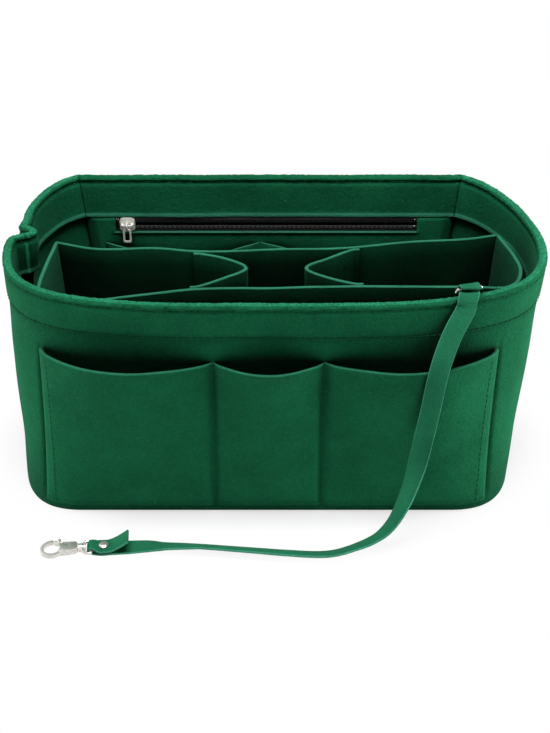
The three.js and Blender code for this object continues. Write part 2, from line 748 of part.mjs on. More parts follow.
// Slip pocket with two mouths, sewn over the zip pocket
place(organizer, 'slip_pocket_panel', pocketPanel({
  seams: (z) => {
    const edge = zipPanelHalf(z) - ZIP_PANEL_TAPER - SLIP_SIDE_MARGIN;
    return [-edge, SLIP_SEAM_X, edge];
  },
  bulges: [SLIP_BULGE, SLIP_BULGE],
  foot: BASE_FELT + SEAT_GAP + ZIP_PANEL_TAPER + SLIP_FOOT_MARGIN,
  topAt: (swell) => RIM_HEIGHT - SLIP_DROP - SLIP_DIP * Math.pow(swell, SLIP_DIP_POWER),
  thickness: INNER_FELT,
  lay: (x, z, out) => backPoint(x, z, zipPanelInset(x, z) + INNER_FELT + out),
}), felt());

// Loose divider: a felt loop of four panels with two bowed partitions

const DIVIDER_FOOT = BASE_FELT + SEAT_GAP;
const DIVIDER_TOP = RIM_HEIGHT - DIVIDER_DROP;
const dividerLeft = -(RIM_LEFT_REACH - DIVIDER_LEFT_CLEARANCE);
const dividerRight = RIM_RIGHT_REACH - DIVIDER_RIGHT_CLEARANCE;
const dividerFront = -(RIM_HALF_WIDTH - DIVIDER_FRONT_CLEARANCE);
const dividerBack = dividerFront + DIVIDER_DEPTH;
const dividerFootScale = (BASE_RIGHT_REACH - DIVIDER_FOOT_CLEARANCE) / dividerRight;
const PANEL_BUTT = DIVIDER_FELT / 2 + PANEL_BUTT_GAP;

function spline(points) {
  const route = points.map(([x, y]) => new THREE.Vector3(x, y, 0));
  return new THREE.CatmullRomCurve3(route, false, 'centripetal');
}

// A felt strip that stands on edge along a plan curve, drawn in toward its foot
function strip(curve, count, foot = DIVIDER_FOOT, top = DIVIDER_TOP) {
  return sheet(steps(count), [0, 1], (u, v, side) => {
    const point = curve.getPoint(u);
    const along = curve.getTangent(u);
    const offset = (side - 0.5) * DIVIDER_FELT;
    const shrink = mix(dividerFootScale, 1, v);
    const x = (point.x - along.y * offset) * shrink;
    const y = (point.y + along.x * offset) * shrink;
    return new THREE.Vector3(x, y, mix(foot, top, v));
  });
}

// A plan point at a share of the loop's length, off its front or back edge by a share of its depth
function atEdge(share, edge, out) {
  return [mix(dividerLeft, dividerRight, share), edge + DIVIDER_DEPTH * out];
}

const LEFT_CORNER_OUT = -0.09;
const BACK_LEFT_OUT = 0.2;
const BACK_RIGHT_OUT = 0.41;
const dividerBackCurve = spline([
  [0, BACK_LEFT_OUT], [0.098, 0.018], [0.224, 0.033], [0.32, -0.056], [0.49, 0], [0.65, 0.056],
  [0.787, 0.222], [0.905, 0.29], [0.976, BACK_RIGHT_OUT],
].map(([share, out]) => atEdge(share, dividerBack, out)));
const dividerFrontCurve = spline([
  [0.002, LEFT_CORNER_OUT], [0.0275, -0.267], [0.079, -0.344], [0.181, -0.211], [0.309, -0.044], [0.49, 0],
  [0.643, 0.033], [0.866, 0.022], [0.937, 0],
].map(([share, out]) => atEdge(share, dividerFront, out)));

// The ends butt against the front and back panels
const leftEndCurve = spline([
  atEdge(0.001, dividerBack - PANEL_BUTT, BACK_LEFT_OUT),
  atEdge(-0.004, dividerFront, 0.41),
  atEdge(-0.0024, dividerFront + PANEL_BUTT, LEFT_CORNER_OUT),
]);
const rightEndCurve = spline([
  atEdge(0.9795, dividerBack - PANEL_BUTT, BACK_RIGHT_OUT),
  ...[[0.997, 0.822], [1, 0.444], [0.984, 0.156], [0.957, 0.018], [0.9394, 0]].map(
    ([share, out]) => atEdge(share, dividerFront, out),
  ),
]);

// A point beside a divider panel at a given X, for the flange of a partition sewn to it
function besidePanel(curve, x, distance) {
  const samples = steps(400).map((u) => ({ u, point: curve.getPoint(u) }));
  const nearest = samples.reduce((a, b) => (Math.abs(b.point.x - x) < Math.abs(a.point.x - x) ? b : a));
  const along = curve.getTangent(nearest.u);
  return [nearest.point.x - along.y * distance, nearest.point.y + along.x * distance];
}

// A partition bowed into the middle cell: side -1 opens to the left, +1 to the right
function partitionCurve(seamX, side) {
  const lap = DIVIDER_FELT + 2 * SEAT_GAP;
  const middle = (dividerFront + dividerBack) / 2;
  const outer = seamX + side * PARTITION_FLANGE;
  return spline([
    besidePanel(dividerBackCurve, outer, -lap),
    besidePanel(dividerBackCurve, (outer + seamX) / 2, -lap),
    besidePanel(dividerBackCurve, seamX, -lap),
    [seamX - side * PARTITION_BULGE * 0.5, middle + DIVIDER_DEPTH * 0.26],
    [seamX - side * PARTITION_BULGE * 0.95, middle],
    [seamX - side * PARTITION_BULGE * 0.5, middle - DIVIDER_DEPTH * 0.26],
    besidePanel(dividerFrontCurve, seamX, lap),
    besidePanel(dividerFrontCurve, (outer + seamX) / 2, lap),
    besidePanel(dividerFrontCurve, outer, lap),
  ]);
}

const PANEL_STEPS = 32;
const END_PANEL_STEPS = 12;
place(organizer, 'divider_back_panel', strip(dividerBackCurve, PANEL_STEPS), felt());
place(organizer, 'divider_front_panel', strip(dividerFrontCurve, PANEL_STEPS), felt());
place(organizer, 'divider_left_end', strip(leftEndCurve, END_PANEL_STEPS), felt());
place(organizer, 'divider_right_end', strip(rightEndCurve, END_PANEL_STEPS), felt());
const leftPartition = partitionCurve(DIVIDER_LEFT_SEAM_X, -1);
const rightPartition = partitionCurve(DIVIDER_RIGHT_SEAM_X, 1);
place(organizer, 'divider_left_partition', strip(leftPartition, PANEL_STEPS), felt());
place(organizer, 'divider_right_partition', strip(rightPartition, PANEL_STEPS), felt());

// Ring for the key strap, held inside the hem by a folded felt tab

const TAB_INSET = HEM_THICKNESS + SEAT_GAP;
const RING_INSET = TAB_INSET + INNER_FELT + SEAT_GAP + RING_WIRE / 2;
const ringTop = RING_TOP_ABOVE_RIM;
const ringFoot = -RING_TAB_TOP;

// Anchor frame on the leaning wall: X along the rim, Y inward from the outer face and Z up from the rim
const anchor = new THREE.Group();
const anchorStation = frontStation(ANCHOR_X, RIM_HEIGHT);
const anchorFrame = wallFrame(anchorStation, RIM_HEIGHT);
const hemEdge = wallFrame(anchorStation, HEM_EDGE_Z);
const anchorLean = hemEdge.point.sub(anchorFrame.point).dot(anchorFrame.inward) / HEM_DEPTH;
anchor.position.set(anchorFrame.point.x, anchorFrame.point.y, RIM_HEIGHT);
anchor.rotation.order = 'ZXY';
anchor.rotation.set(Math.atan(anchorLean), 0, Math.atan2(anchorFrame.along.y, anchorFrame.along.x));
organizer.add(anchor);

function strapRing() {
  const width = STRAP_WIDTH + 2 * RING_SIDE_CLEARANCE + RING_WIRE;
  const line = roundedBox(width, ringTop - ringFoot, RING_CORNER, 3);
  const ring = wireLoop(line, RING_WIRE / 2, 10);
  return ring.rotateX(Math.PI / 2).translate(0, RING_INSET, (ringTop + ringFoot) / 2);
}

// Side view of a strip as its middle line in the plane of Y and Z, given width along X
function foldedStrip(line, thickness, width) {
  const us = steps(line.length - 1);
  return sheet(us, [0, 1], (u, v, side) => {
    const k = Math.round(u * (line.length - 1));
    const before = line[Math.max(0, k - 1)];
    const after = line[Math.min(line.length - 1, k + 1)];
    const along = after.clone().sub(before).normalize();
    const offset = (side - 0.5) * thickness;
    return new THREE.Vector3((v - 0.5) * width, line[k].x - along.y * offset, line[k].y + along.x * offset);
  });
}

function ringTab() {
  const radius = RING_WIRE / 2 + SEAT_GAP + INNER_FELT / 2;
  const foot = ringFoot - RING_TAB_HEIGHT;
  const wallLayer = TAB_INSET + INNER_FELT / 2;
  const line = [
    flat(wallLayer, foot),
    flat(wallLayer, (foot + ringFoot) / 2),
    ...arc(RING_INSET, ringFoot, radius, Math.PI, 0, 8).map((p) => flat(p.x, p.y)),
    flat(wallLayer + INNER_FELT + 2 * SEAT_GAP, ringFoot - RING_TAB_HEIGHT / 2),
    flat(wallLayer + INNER_FELT + SEAT_GAP, foot),
  ];
  return foldedStrip(line, INNER_FELT, RING_TAB_WIDTH);
}

place(anchor, 'strap_ring', strapRing(), nickel());
place(anchor, 'strap_ring_tab', ringTab(), felt());

// Swivel clasp, lying flat: X from the strap toward the hook's tip, Z up

// Y of the key strap at a distance out from the rim's front and the swell of the pockets
function strapLine(out) {
  return -RIM_HALF_WIDTH - SIDE_POCKET_BULGE - out;
}

const CLASP_FOLD = EYE_WIRE / 2 + SEAT_GAP + STRAP_THICKNESS / 2;
const CLASP_Z = RIVET_HEAD_HEIGHT + 2 * SEAT_GAP + STRAP_THICKNESS / 2 + CLASP_FOLD;
const clasp = new THREE.Group();
clasp.position.set(CLASP_X, strapLine(CLASP_OUT), CLASP_Z);
clasp.rotation.z = CLASP_TURN;
organizer.add(clasp);

const eyeHalf = STRAP_NECK / 2 + EYE_SIDE_CLEARANCE;
const collarStart = EYE_LEG + EYE_SHOULDER;
const collarEnd = collarStart + COLLAR_LENGTH;

function alongX(radius, from, to, sides) {
  const rod = new THREE.CylinderGeometry(radius, radius, to - from, sides);
  return rod.rotateZ(Math.PI / 2).translate((from + to) / 2, 0, 0);
}

// Eye: a flat D of wire with its bar in the strap's fold, and the collar that the stem turns in
function claspEye() {
  const side = eyeHalf + EYE_WIRE / 2;
  const corner = EYE_WIRE / 2;
  const line = [
    ...arc(corner, -side + corner, corner, Math.PI, Math.PI * 1.5, 3),
    flat(EYE_LEG, -side),
    flat(collarStart + COLLAR_ROOT, -STEM_RADIUS - SEAT_GAP - STEM_CLEARANCE),
    flat(collarStart + COLLAR_ROOT, STEM_RADIUS + SEAT_GAP + STEM_CLEARANCE),
    flat(EYE_LEG, side),
    ...arc(corner, side - corner, corner, Math.PI / 2, Math.PI, 3),
  ];
  const ring = wireLoop(line, EYE_WIRE / 2, 10);
  const collar = alongX(COLLAR_RADIUS, collarStart, collarEnd, 20);
  const bore = alongX(STEM_RADIUS + SEAT_GAP, collarStart - COLLAR_LENGTH, collarEnd + COLLAR_LENGTH, 20);
  return cut(join(ring, collar), bore);
}

const stemHeadEnd = collarStart - STEM_CLEARANCE;
const bodyStart = collarEnd + SEAT_GAP;
const bodyEnd = bodyStart + HOOK_BODY_LENGTH;
const hookCentre = bodyEnd + HOOK_OUTER_RADIUS - HOOK_SINK;
const hookInner = HOOK_OUTER_RADIUS - HOOK_WIRE;
const hookMiddle = HOOK_OUTER_RADIUS - HOOK_WIRE / 2;
const gatePivot = flat(bodyStart + GATE_FROM_COLLAR, -HOOK_BODY_WIDTH / 2 + GATE_PIVOT_INSET);
const gateTip = flat(hookCentre, 0).add(flat(hookMiddle, 0).rotateAround(flat(0, 0), HOOK_MOUTH_ANGLE));

function hookRim(angle) {
  return flat(hookCentre + HOOK_OUTER_RADIUS * Math.cos(angle), HOOK_OUTER_RADIUS * Math.sin(angle));
}

function pinBore() {
  const radius = GATE_PIN_RADIUS + SEAT_GAP;
  return new THREE.CylinderGeometry(radius, radius, 2 * HOOK_THICKNESS, 16).rotateX(Math.PI / 2);
}

// Hook: stem with its head inside the eye, body, and a round arm that runs past the tip to the mouth
function claspHook() {
  const half = HOOK_BODY_WIDTH / 2;
  const armTip = HOOK_MOUTH_ANGLE + SEAT_GAP / hookInner;
  const outline = [
    flat(bodyStart, -half + BODY_CORNER),
    flat(bodyStart + CHEEK_RISE, -half - CHEEK_RISE),
    flat(gatePivot.x + CHEEK_ROUND, -half - CHEEK_RISE),
    flat(gatePivot.x + CHEEK_RISE + CHEEK_ROUND, -half + CHEEK_ROUND),
    ...arc(hookCentre, 0, hookInner, HOOK_ROOT_ANGLE, HOOK_ARM_ANGLE, 3),
    hookRim(HOOK_ARM_ANGLE),
    flat(bodyStart + half, half + BODY_CORNER),
    flat(bodyStart, half - BODY_CORNER),
  ];
  const body = prism(outline, HOOK_THICKNESS);
  const armRoot = HOOK_ARM_ANGLE + HOOK_ARM_LAP;
  const arm = prism([
    ...arc(hookCentre, 0, hookInner, armRoot, armTip, 18),
    ...arc(hookCentre, 0, HOOK_OUTER_RADIUS, armTip, armRoot, 18),
  ], HOOK_ARM_THICKNESS);
  const stem = alongX(STEM_RADIUS, stemHeadEnd - STEM_HEAD_LENGTH / 2, bodyStart + STEM_RADIUS, 16);
  const head = alongX(STEM_HEAD_RADIUS, stemHeadEnd - STEM_HEAD_LENGTH, stemHeadEnd, 16);
  const reach = GATE_EYE_RADIUS + SEAT_GAP;
  const slot = box(
    gatePivot.x - reach, bodyEnd + HOOK_SINK, gatePivot.y - HOOK_BODY_WIDTH, gatePivot.y + reach,
    -GATE_SLOT / 2, GATE_SLOT / 2,
  );
  const bore = pinBore().translate(gatePivot.x, gatePivot.y, 0);
  return cut(join(body, arm, stem, head), slot, bore);
}

const tongueZ = (GATE_TONGUE - GATE_SLOT) / 2 + SEAT_GAP;

// Gate: a tongue on the pin, the bar that closes the mouth and a thumb stud
function claspGate() {
  const run = gateTip.clone().sub(gatePivot);
  const length = run.length();
  const half = GATE_THICKNESS / 2;
  const tongue = prism([
    ...arc(0, 0, GATE_EYE_RADIUS, Math.PI / 2, Math.PI * 1.5, 10),
    flat(GATE_TONGUE_LENGTH, -half), flat(GATE_TONGUE_LENGTH, half),
  ], GATE_TONGUE).translate(0, 0, tongueZ);
  const bar = prism([
    flat(GATE_BAR_START, -half), flat(length - GATE_POINT, -half), flat(length, 0),
    flat(length - GATE_POINT, half), flat(GATE_BAR_START, half),
  ], HOOK_ARM_THICKNESS);
  const stud = new THREE.CylinderGeometry(GATE_THUMB_RADIUS, GATE_THUMB_RADIUS, HOOK_THICKNESS, 12);
  stud.rotateX(Math.PI / 2).translate(length * GATE_THUMB_SHARE, -half - GATE_THUMB_RADIUS / 3, 0);
  const gate = cut(join(tongue, bar, stud), pinBore());
  return gate.rotateZ(Math.atan2(run.y, run.x)).translate(gatePivot.x, gatePivot.y, 0);
}

function gatePin() {
  const pin = new THREE.CylinderGeometry(GATE_PIN_RADIUS, GATE_PIN_RADIUS, HOOK_THICKNESS, 16);
  return pin.rotateX(Math.PI / 2).translate(gatePivot.x, gatePivot.y, 0);
}

// Torsion spring round the pin, in the slot beside the gate's tongue
function gateSpring() {
  const radius = GATE_PIN_RADIUS + SEAT_GAP + SPRING_WIRE;
  const start = tongueZ + GATE_TONGUE / 2 + SEAT_GAP / 2 + SPRING_WIRE / 2;
  const rise = GATE_SLOT / 2 - SEAT_GAP / 2 - SPRING_WIRE / 2 - start;
  const line = steps(SPRING_TURNS * 12).map((s) => {
    const angle = 2 * Math.PI * SPRING_TURNS * s;
    return new THREE.Vector3(radius * Math.cos(angle), radius * Math.sin(angle), start + rise * s);
  });
  const wire = new THREE.Shape(arc(0, 0, SPRING_WIRE / 2, 0, 2 * Math.PI, 6).slice(1));
  const path = new THREE.CatmullRomCurve3(line);
  const options = { steps: line.length - 1, extrudePath: path, bevelEnabled: false };
  return new THREE.ExtrudeGeometry(wire, options).translate(gatePivot.x, gatePivot.y, 0);
}

place(clasp, 'clasp_eye', claspEye(), nickel());
place(clasp, 'clasp_hook', claspHook(), nickel());
place(clasp, 'clasp_gate', claspGate(), nickel());
place(clasp, 'clasp_gate_pin', gatePin(), nickel());
place(clasp, 'clasp_gate_spring', gateSpring(), nickel());

// Key strap: from its tail, round the ring, over the rim, down the front, along the surface the tub
// stands on, round the clasp's eye and back to its riveted tail

const RING_FOLD = RING_WIRE / 2 + 2 * SEAT_GAP + STRAP_THICKNESS / 2;
const TAIL_REST = STRAP_THICKNESS + SEAT_GAP - CLASP_FOLD;
const onRim = STRAP_THICKNESS / 2 + 2 * SEAT_GAP;

// Round the ring, in the anchor's frame
const ringEnd = [
  [-1.5, 2.2, onRim + 2.8], [-0.8, 5, onRim + 2.5], [-0.2, RING_INSET, ringTop + RING_FOLD],
  [0, RING_INSET + RING_FOLD, ringTop], [-0.3, RING_INSET, ringTop - RING_FOLD],
  [-0.9, 5.5, onRim - 0.8], [-1.9, 3.3, onRim], [-3.4, 0.9, onRim], [-4.9, -1, -0.8], [-5.8, -1.9, -4],
];

// From the rim to the pocket's mouth, as X, distance out and share of the height between them
const shoulder = [[90.3, -9.5, 0.54], [84.5, -1.6, 0.11]];

// Down the pocket, as X, distance out and share of the pocket's height
const hanging = [
  [80.6, 0.8, 0.766], [76.9, 3, 0.529], [74.2, 5, 0.404],
  [69.9, 8.5, 0.275], [63.9, 12, 0.163], [56.2, 13.5, 0.08],
];

// Along the ground, as X, distance out and height
const lying = [
  [44.1, 17.3, 4.4], [31.7, 20.6, 3.2], [10.4, 19.5, 2.6], [-8.4, 17.5, 2.6], [-26.8, 15.5, 2.6],
  [-36.3, 14.5, 2.4], [-54.3, 13.6, 2.2], [-63.5, 13.4, 2.2],
];

// Round the clasp's eye, in the clasp's frame
const claspEnd = [
  [-20, 0, -CLASP_FOLD], [-10, 0, -CLASP_FOLD], [0, 0, -CLASP_FOLD], [CLASP_FOLD, 0, 0], [0, 0, CLASP_FOLD],
  [-1.8, 0, CLASP_FOLD - 0.7], [-3.6, 0, TAIL_REST + 0.25], [-RIVET_FROM_EYE, 0, TAIL_REST],
  [-RIVET_FROM_EYE - 2.8, 0, TAIL_REST + 0.15], [-14, 0, TAIL_REST + 2.3], [-19.5, 0, TAIL_REST + 6.1],
];

// Direction across the strap at some of the route's points, by their place along it
const strapAcross = [
  [0, 0.95, 0.31, 0], [7, 0.97, 0.25, 0], [10, 1, 0, -0.1], [15, 0.9, -0.15, -0.4], [17, 0.4, -0.65, -0.65],
  [18, 0.15, -0.9, -0.4], [19, 0, -1, -0.1], [21, 0, -0.96, 0.28], [23, 0, -0.96, 0.25], [25, 0, -1, 0],
  [28, 0.09, -1, 0], [36, 0.09, -1, 0],
];
const SECTIONS_PER_SPAN = 3;

// The strap's width by place along the route: it is gathered to its neck where it passes the eye
const strapWidth = [
  [0, STRAP_WIDTH], [27.34, STRAP_WIDTH], [28, STRAP_NECK], [30, STRAP_NECK], [32.34, STRAP_WIDTH],
  [36, STRAP_WIDTH],
];

function strapRoute() {
  organizer.updateMatrixWorld(true);
  const point = (x, y, z) => new THREE.Vector3(x, y, z);
  return [
    ...ringEnd.map((p) => anchor.localToWorld(point(...p))),
    ...shoulder.map(([x, out, share]) => point(x, strapLine(out), mix(POCKET_TOP, RIM_HEIGHT, share))),
    ...hanging.map(([x, out, share]) => point(x, strapLine(out), POCKET_TOP * share)),
    ...lying.map(([x, out, z]) => point(x, strapLine(out), z)),
    ...claspEnd.map((p) => clasp.localToWorld(point(...p))),
  ];
}

// Values of a table at a place along the route, between its rows
function tableAt(table, spot) {
  const next = Math.max(1, table.findIndex(([k]) => k >= spot));
  const [before, ...a] = table[next - 1];
  const [after, ...b] = table[next];
  return a.map((value, i) => mix(value, b[i], (spot - before) / (after - before)));
}

function keyStrap() {
  const route = strapRoute();
  const spans = route.length - 1;
  const curve = new THREE.CatmullRomCurve3(route, false, 'centripetal');
  const outline = [[-1, -1], [1, -1], [1, 1], [-1, 1]].map(([w, t]) => flat(w / 2, t * STRAP_THICKNESS / 2));
  const sections = steps(spans * SECTIONS_PER_SPAN).map((u) => {
    const along = curve.getTangent(u);
    const across = new THREE.Vector3(...tableAt(strapAcross, u * spans));
    across.addScaledVector(along, -across.dot(along)).setLength(tableAt(strapWidth, u * spans)[0]);
    const face = along.clone().cross(across).normalize();
    return outline.map((p) => curve.getPoint(u).addScaledVector(across, p.x).addScaledVector(face, p.y));
  });
  const bore = RIVET_SHANK_RADIUS + SEAT_GAP;
  const hole = new THREE.CylinderGeometry(bore, bore, 2 * CLASP_Z, 16);
  hole.rotateX(Math.PI / 2).translate(-RIVET_FROM_EYE, 0, 0).applyMatrix4(clasp.matrixWorld);
  return cut(loft(sections, outline), hole);
}

// Rivet: a flat head under the strap, its shank and a domed cap on the tail
function strapRivet() {
  const headTop = -CLASP_FOLD - STRAP_THICKNESS / 2 - SEAT_GAP;
  const headFoot = headTop - RIVET_HEAD_HEIGHT;
  const capFoot = TAIL_REST + STRAP_THICKNESS / 2 + 2 * SEAT_GAP;
  const dome = arc(0, 0, 1, 0, Math.PI / 2, 5).map(
    (p) => flat(p.x * RIVET_HEAD_RADIUS, capFoot + p.y * RIVET_HEAD_HEIGHT),
  );
  const profile = [
    flat(0, headFoot), flat(RIVET_HEAD_RADIUS, headFoot), flat(RIVET_HEAD_RADIUS, headTop),
    flat(RIVET_SHANK_RADIUS, headTop), flat(RIVET_SHANK_RADIUS, capFoot), ...dome.slice(0, -1),
    flat(0, capFoot + RIVET_HEAD_HEIGHT),
  ];
  return new THREE.LatheGeometry(profile, 20).rotateX(Math.PI / 2).translate(-RIVET_FROM_EYE, 0, 0);
}

place(organizer, 'key_strap', keyStrap(), felt());
place(clasp, 'strap_rivet', strapRivet(), nickel());

export default organizer;
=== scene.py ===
# Felt purse organizer insert: its looks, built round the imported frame.
# Shapes are worked out in millimetres and become metres where a mesh is made.

import math

import bmesh
import bpy
import numpy as np
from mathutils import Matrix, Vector


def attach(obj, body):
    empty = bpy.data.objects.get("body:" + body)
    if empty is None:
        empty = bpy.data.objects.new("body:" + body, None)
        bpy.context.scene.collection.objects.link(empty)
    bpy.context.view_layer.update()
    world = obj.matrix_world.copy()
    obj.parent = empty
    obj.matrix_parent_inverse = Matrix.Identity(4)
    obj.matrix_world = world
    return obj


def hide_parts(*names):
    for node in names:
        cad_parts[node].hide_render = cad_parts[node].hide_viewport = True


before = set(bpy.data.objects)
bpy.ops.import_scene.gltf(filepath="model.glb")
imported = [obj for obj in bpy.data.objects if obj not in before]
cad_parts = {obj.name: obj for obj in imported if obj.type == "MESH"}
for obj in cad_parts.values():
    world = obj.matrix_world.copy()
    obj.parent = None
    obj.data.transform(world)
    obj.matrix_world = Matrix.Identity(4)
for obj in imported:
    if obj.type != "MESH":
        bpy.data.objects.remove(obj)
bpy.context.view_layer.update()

MM = 0.001

# Felt
SEAT_GAP = 0.3
POCKET_GAP = 0.5
WALL_FELT = 2.5
POCKET_FELT = 2.0
INNER_FELT = 1.2
DIVIDER_FELT = 2.0
BASE_FELT = 3.0

# Tub outline, at the rim and at the base
RIM_HEIGHT = 133.0
RIM_HALF_WIDTH = 80.0
BASE_HALF_WIDTH = 72.0
RIM_RIGHT_REACH = 149.0
RIM_LEFT_REACH = 142.5
BASE_RIGHT_REACH = 139.2
BASE_LEFT_REACH = 142.5
RIM_APEX_Y = -2.0
RIM_FRONT_STRAIGHT = 20.0
BASE_CORNER = 39.0
RIM_FRONT_HANDLE = 92.0
BASE_FRONT_HANDLE = 29.5
RIM_FRONT_SIDE_HANDLE = 60.0
BASE_FRONT_SIDE_HANDLE = 48.0
RIM_BACK_SIDE_HANDLE = 37.0
BASE_BACK_SIDE_HANDLE = 39.0
RIM_BACK_CORNER = 116.0
BASE_BACK_CORNER = 100.0
RIM_BACK_HANDLE_X = 18.0
RIM_BACK_HANDLE_Y = 12.0
BASE_BACK_HANDLE_X = 24.0
HEM_DEPTH = 23.0
HEM_THICKNESS = 5.0
HEM_EDGE_Z = RIM_HEIGHT - HEM_DEPTH

# Pleat in the left end
PLEAT_DEPTH = 9.0
PLEAT_HALF_WIDTH = 4.3
PLEAT_Y = 6.0
PLEAT_FOOT = 40.0
TUCK_DEPTH = 2.8
TUCK_FROM_PLEAT = 13.0
TUCK_HALF_WIDTH = 13.0

# Outer pockets
POCKET_TOP = RIM_HEIGHT - 33.0
POCKET_FOOT = 5.0
POCKET_SEAM_X = 28.0
FRONT_POCKET_EDGE = 117.0
BACK_POCKET_EDGE = 94.0
POCKET_BULGE = 11.0
SWELL_POWER = 0.95
SEWN_DEPTH = 0.4
RISE_POWER = 1.5

# Zip pocket and slip pocket inside the back
ZIP_LEFT = -94.0
ZIP_RIGHT = 89.5
ZIP_WINDOW = 8.5
ZIP_Z = HEM_EDGE_Z - SEAT_GAP - ZIP_WINDOW / 2
TAPE_INSET = 4.5
TAPE_THICKNESS = 0.6
TAPE_EDGE = 1.0
TAPE_LAP = 5.0
ZIP_END_LAP = 3.0
ZIP_PANEL_INSET = 5.4
ZIP_PANEL_MARGIN = 1.2
ZIP_PANEL_TAPER = 6.0
SLIP_PEAK = RIM_HEIGHT - 38.5
SLIP_DIP = 8.0
SLIP_DIP_POWER = 2.0
SLIP_SEAM_X = -6.0
SLIP_BULGE = 9.0
SLIP_FOOT = BASE_FELT + SEAT_GAP + ZIP_PANEL_TAPER + 2.0
SLIP_SIDE_MARGIN = 3.8

# Loose divider
DIVIDER_TOP = RIM_HEIGHT - 11.0
DIVIDER_FOOT = BASE_FELT + SEAT_GAP
DIVIDER_LEFT = -(RIM_LEFT_REACH - 23.0)
DIVIDER_RIGHT = RIM_RIGHT_REACH - 14.4
DIVIDER_FRONT = -(RIM_HALF_WIDTH - 40.5)
DIVIDER_DEPTH = 45.0
DIVIDER_BACK = DIVIDER_FRONT + DIVIDER_DEPTH
DIVIDER_FOOT_SCALE = (BASE_RIGHT_REACH - 10.7) / DIVIDER_RIGHT
DIVIDER_LEFT_SEAM_X = -38.0
DIVIDER_RIGHT_SEAM_X = 46.0
PARTITION_BULGE = 27.0
PARTITION_FLANGE = 3.2
PANEL_BUTT = DIVIDER_FELT / 2 - 0.3

# Key strap
STRAP_WIDTH = 10.0
STRAP_THICKNESS = 1.2
STRAP_NECK = 6.8

# Stitching
RIM_STITCH_Z = 129.4
HEM_STITCH_Z = 114.0
RIM_STITCH_INSET = 0.55
HEM_STITCH_INSET = 0.35
BACK_STITCH_MARGIN = 2.0
STITCH_PITCH = 3.4
STITCH_LENGTH = 2.7
THREAD_RADIUS = 0.22
THREAD_SIDES = 6
GROOVE_WIDTH = 1.3
HEM_GROOVE = 0.6
OUTER_RIM_GROOVE = 0.55
INNER_RIM_GROOVE = 0.75

# Relief of the felt; pairs are the start and end of a smooth rise
BELOW_HEM = 0.9
BELOW_HEM_RISE = (82.0, HEM_EDGE_Z)
BELOW_HEM_END = (HEM_STITCH_Z - 1.4, HEM_STITCH_Z)
CREASE_DEPTH = 1.5
CREASE_RISE = (3.0, 12.0)
CREASE_END = (POCKET_TOP - 6.0, POCKET_TOP + 4.0)
BACK_RIM_RISE = 2.6
BACK_RIM_HEIGHTS = (112.0, 130.0)
BACK_RIM_DEPTHS = (15.0, 76.0)
RIM_NAP = 0.15
# How far below the rim's top the painted highlight reaches
RIM_HIGHLIGHT_DROP = 0.8
HEM_FLARE = 0.9
FLARE_WIDTH = 1.9
LUMP_HEIGHT = 0.35
WALL_LUMP_SIZE = 55.0
BACK_LUMP_SIZE = 60.0
POCKET_LUMP_SIZE = 38.0
DIVIDER_LUMP_SIZE = 48.0
DIVIDER_LUMP_HEIGHT = 0.3
LUMP_RISE = (0.0, 25.0)
WALL_END_POWER = 24
BACK_END_POWER = 6
HEM_CALM = 0.4
HEM_CALM_RISE = (100.0, 120.0)

# Shares of half the tub's outline
FRONT_PART = 0.6
CREASE_WIDTH = 0.0065
CREASE_AWAY = 0.005


def mix(a, b, t):
    return a + (b - a) * t


def smoothstep(x, low, high):
    t = np.clip((x - low) / (high - low), 0, 1)
    return t * t * (3 - 2 * t)


def between(at, places, rows):
    """Rows of numbers at given places, read off between known ones."""
    return np.stack([np.interp(at, places, column) for column in rows.T], axis=-1)


def at_height(points, z):
    return np.column_stack([points, np.full(len(points), z)])


# Tub outline


def half_width(z):
    return mix(BASE_HALF_WIDTH, RIM_HALF_WIDTH, z / RIM_HEIGHT)


def back_corner(z):
    return mix(BASE_BACK_CORNER, RIM_BACK_CORNER, z / RIM_HEIGHT)


def bezier(p0, p1, p2, p3, count):
    t = np.linspace(0, 1, count)[:, None]
    p0, p1, p2, p3 = (np.array(p, float) for p in (p0, p1, p2, p3))
    return p0 * (1 - t) ** 3 + 3 * p1 * t * (1 - t) ** 2 + 3 * p2 * t * t * (1 - t) + p3 * t**3


def run_along(points):
    """The distance run at each point of a line."""
    return np.concatenate([[0], np.cumsum(np.linalg.norm(np.diff(points, axis=0), axis=1))])


outline_cache = {}


def half_outline(z, side):
    """Half of the tub's outline at height z, as shares of its length, points and directions."""
    key = (round(float(z), 4), side)
    if key not in outline_cache:
        t = z / RIM_HEIGHT
        half = half_width(z)
        base_reach = BASE_RIGHT_REACH if side > 0 else BASE_LEFT_REACH
        reach = mix(base_reach, RIM_RIGHT_REACH if side > 0 else RIM_LEFT_REACH, t)
        apex = RIM_APEX_Y * t
        straight = mix(base_reach - BASE_CORNER, RIM_FRONT_STRAIGHT, t)
        corner = back_corner(z)
        line = np.linspace((0, -half), (straight, -half), 60)
        front = bezier(
            (straight, -half),
            (straight + mix(BASE_FRONT_HANDLE, RIM_FRONT_HANDLE, t), -half),
            (reach, apex - mix(BASE_FRONT_SIDE_HANDLE, RIM_FRONT_SIDE_HANDLE, t)),
            (reach, apex),
            300,
        )
        back = bezier(
            (reach, apex),
            (reach, apex + mix(BASE_BACK_SIDE_HANDLE, RIM_BACK_SIDE_HANDLE, t)),
            (corner + mix(BASE_BACK_HANDLE_X, RIM_BACK_HANDLE_X, t), half - RIM_BACK_HANDLE_Y * t),
            (corner, half),
            200,
        )
        points = np.concatenate([line, front[1:], back[1:]])
        run = run_along(points)
        along = np.gradient(points, run, axis=0)
        along /= np.linalg.norm(along, axis=1)[:, None]
        outline_cache[key] = (run / run[-1], points, along)
    return outline_cache[key]


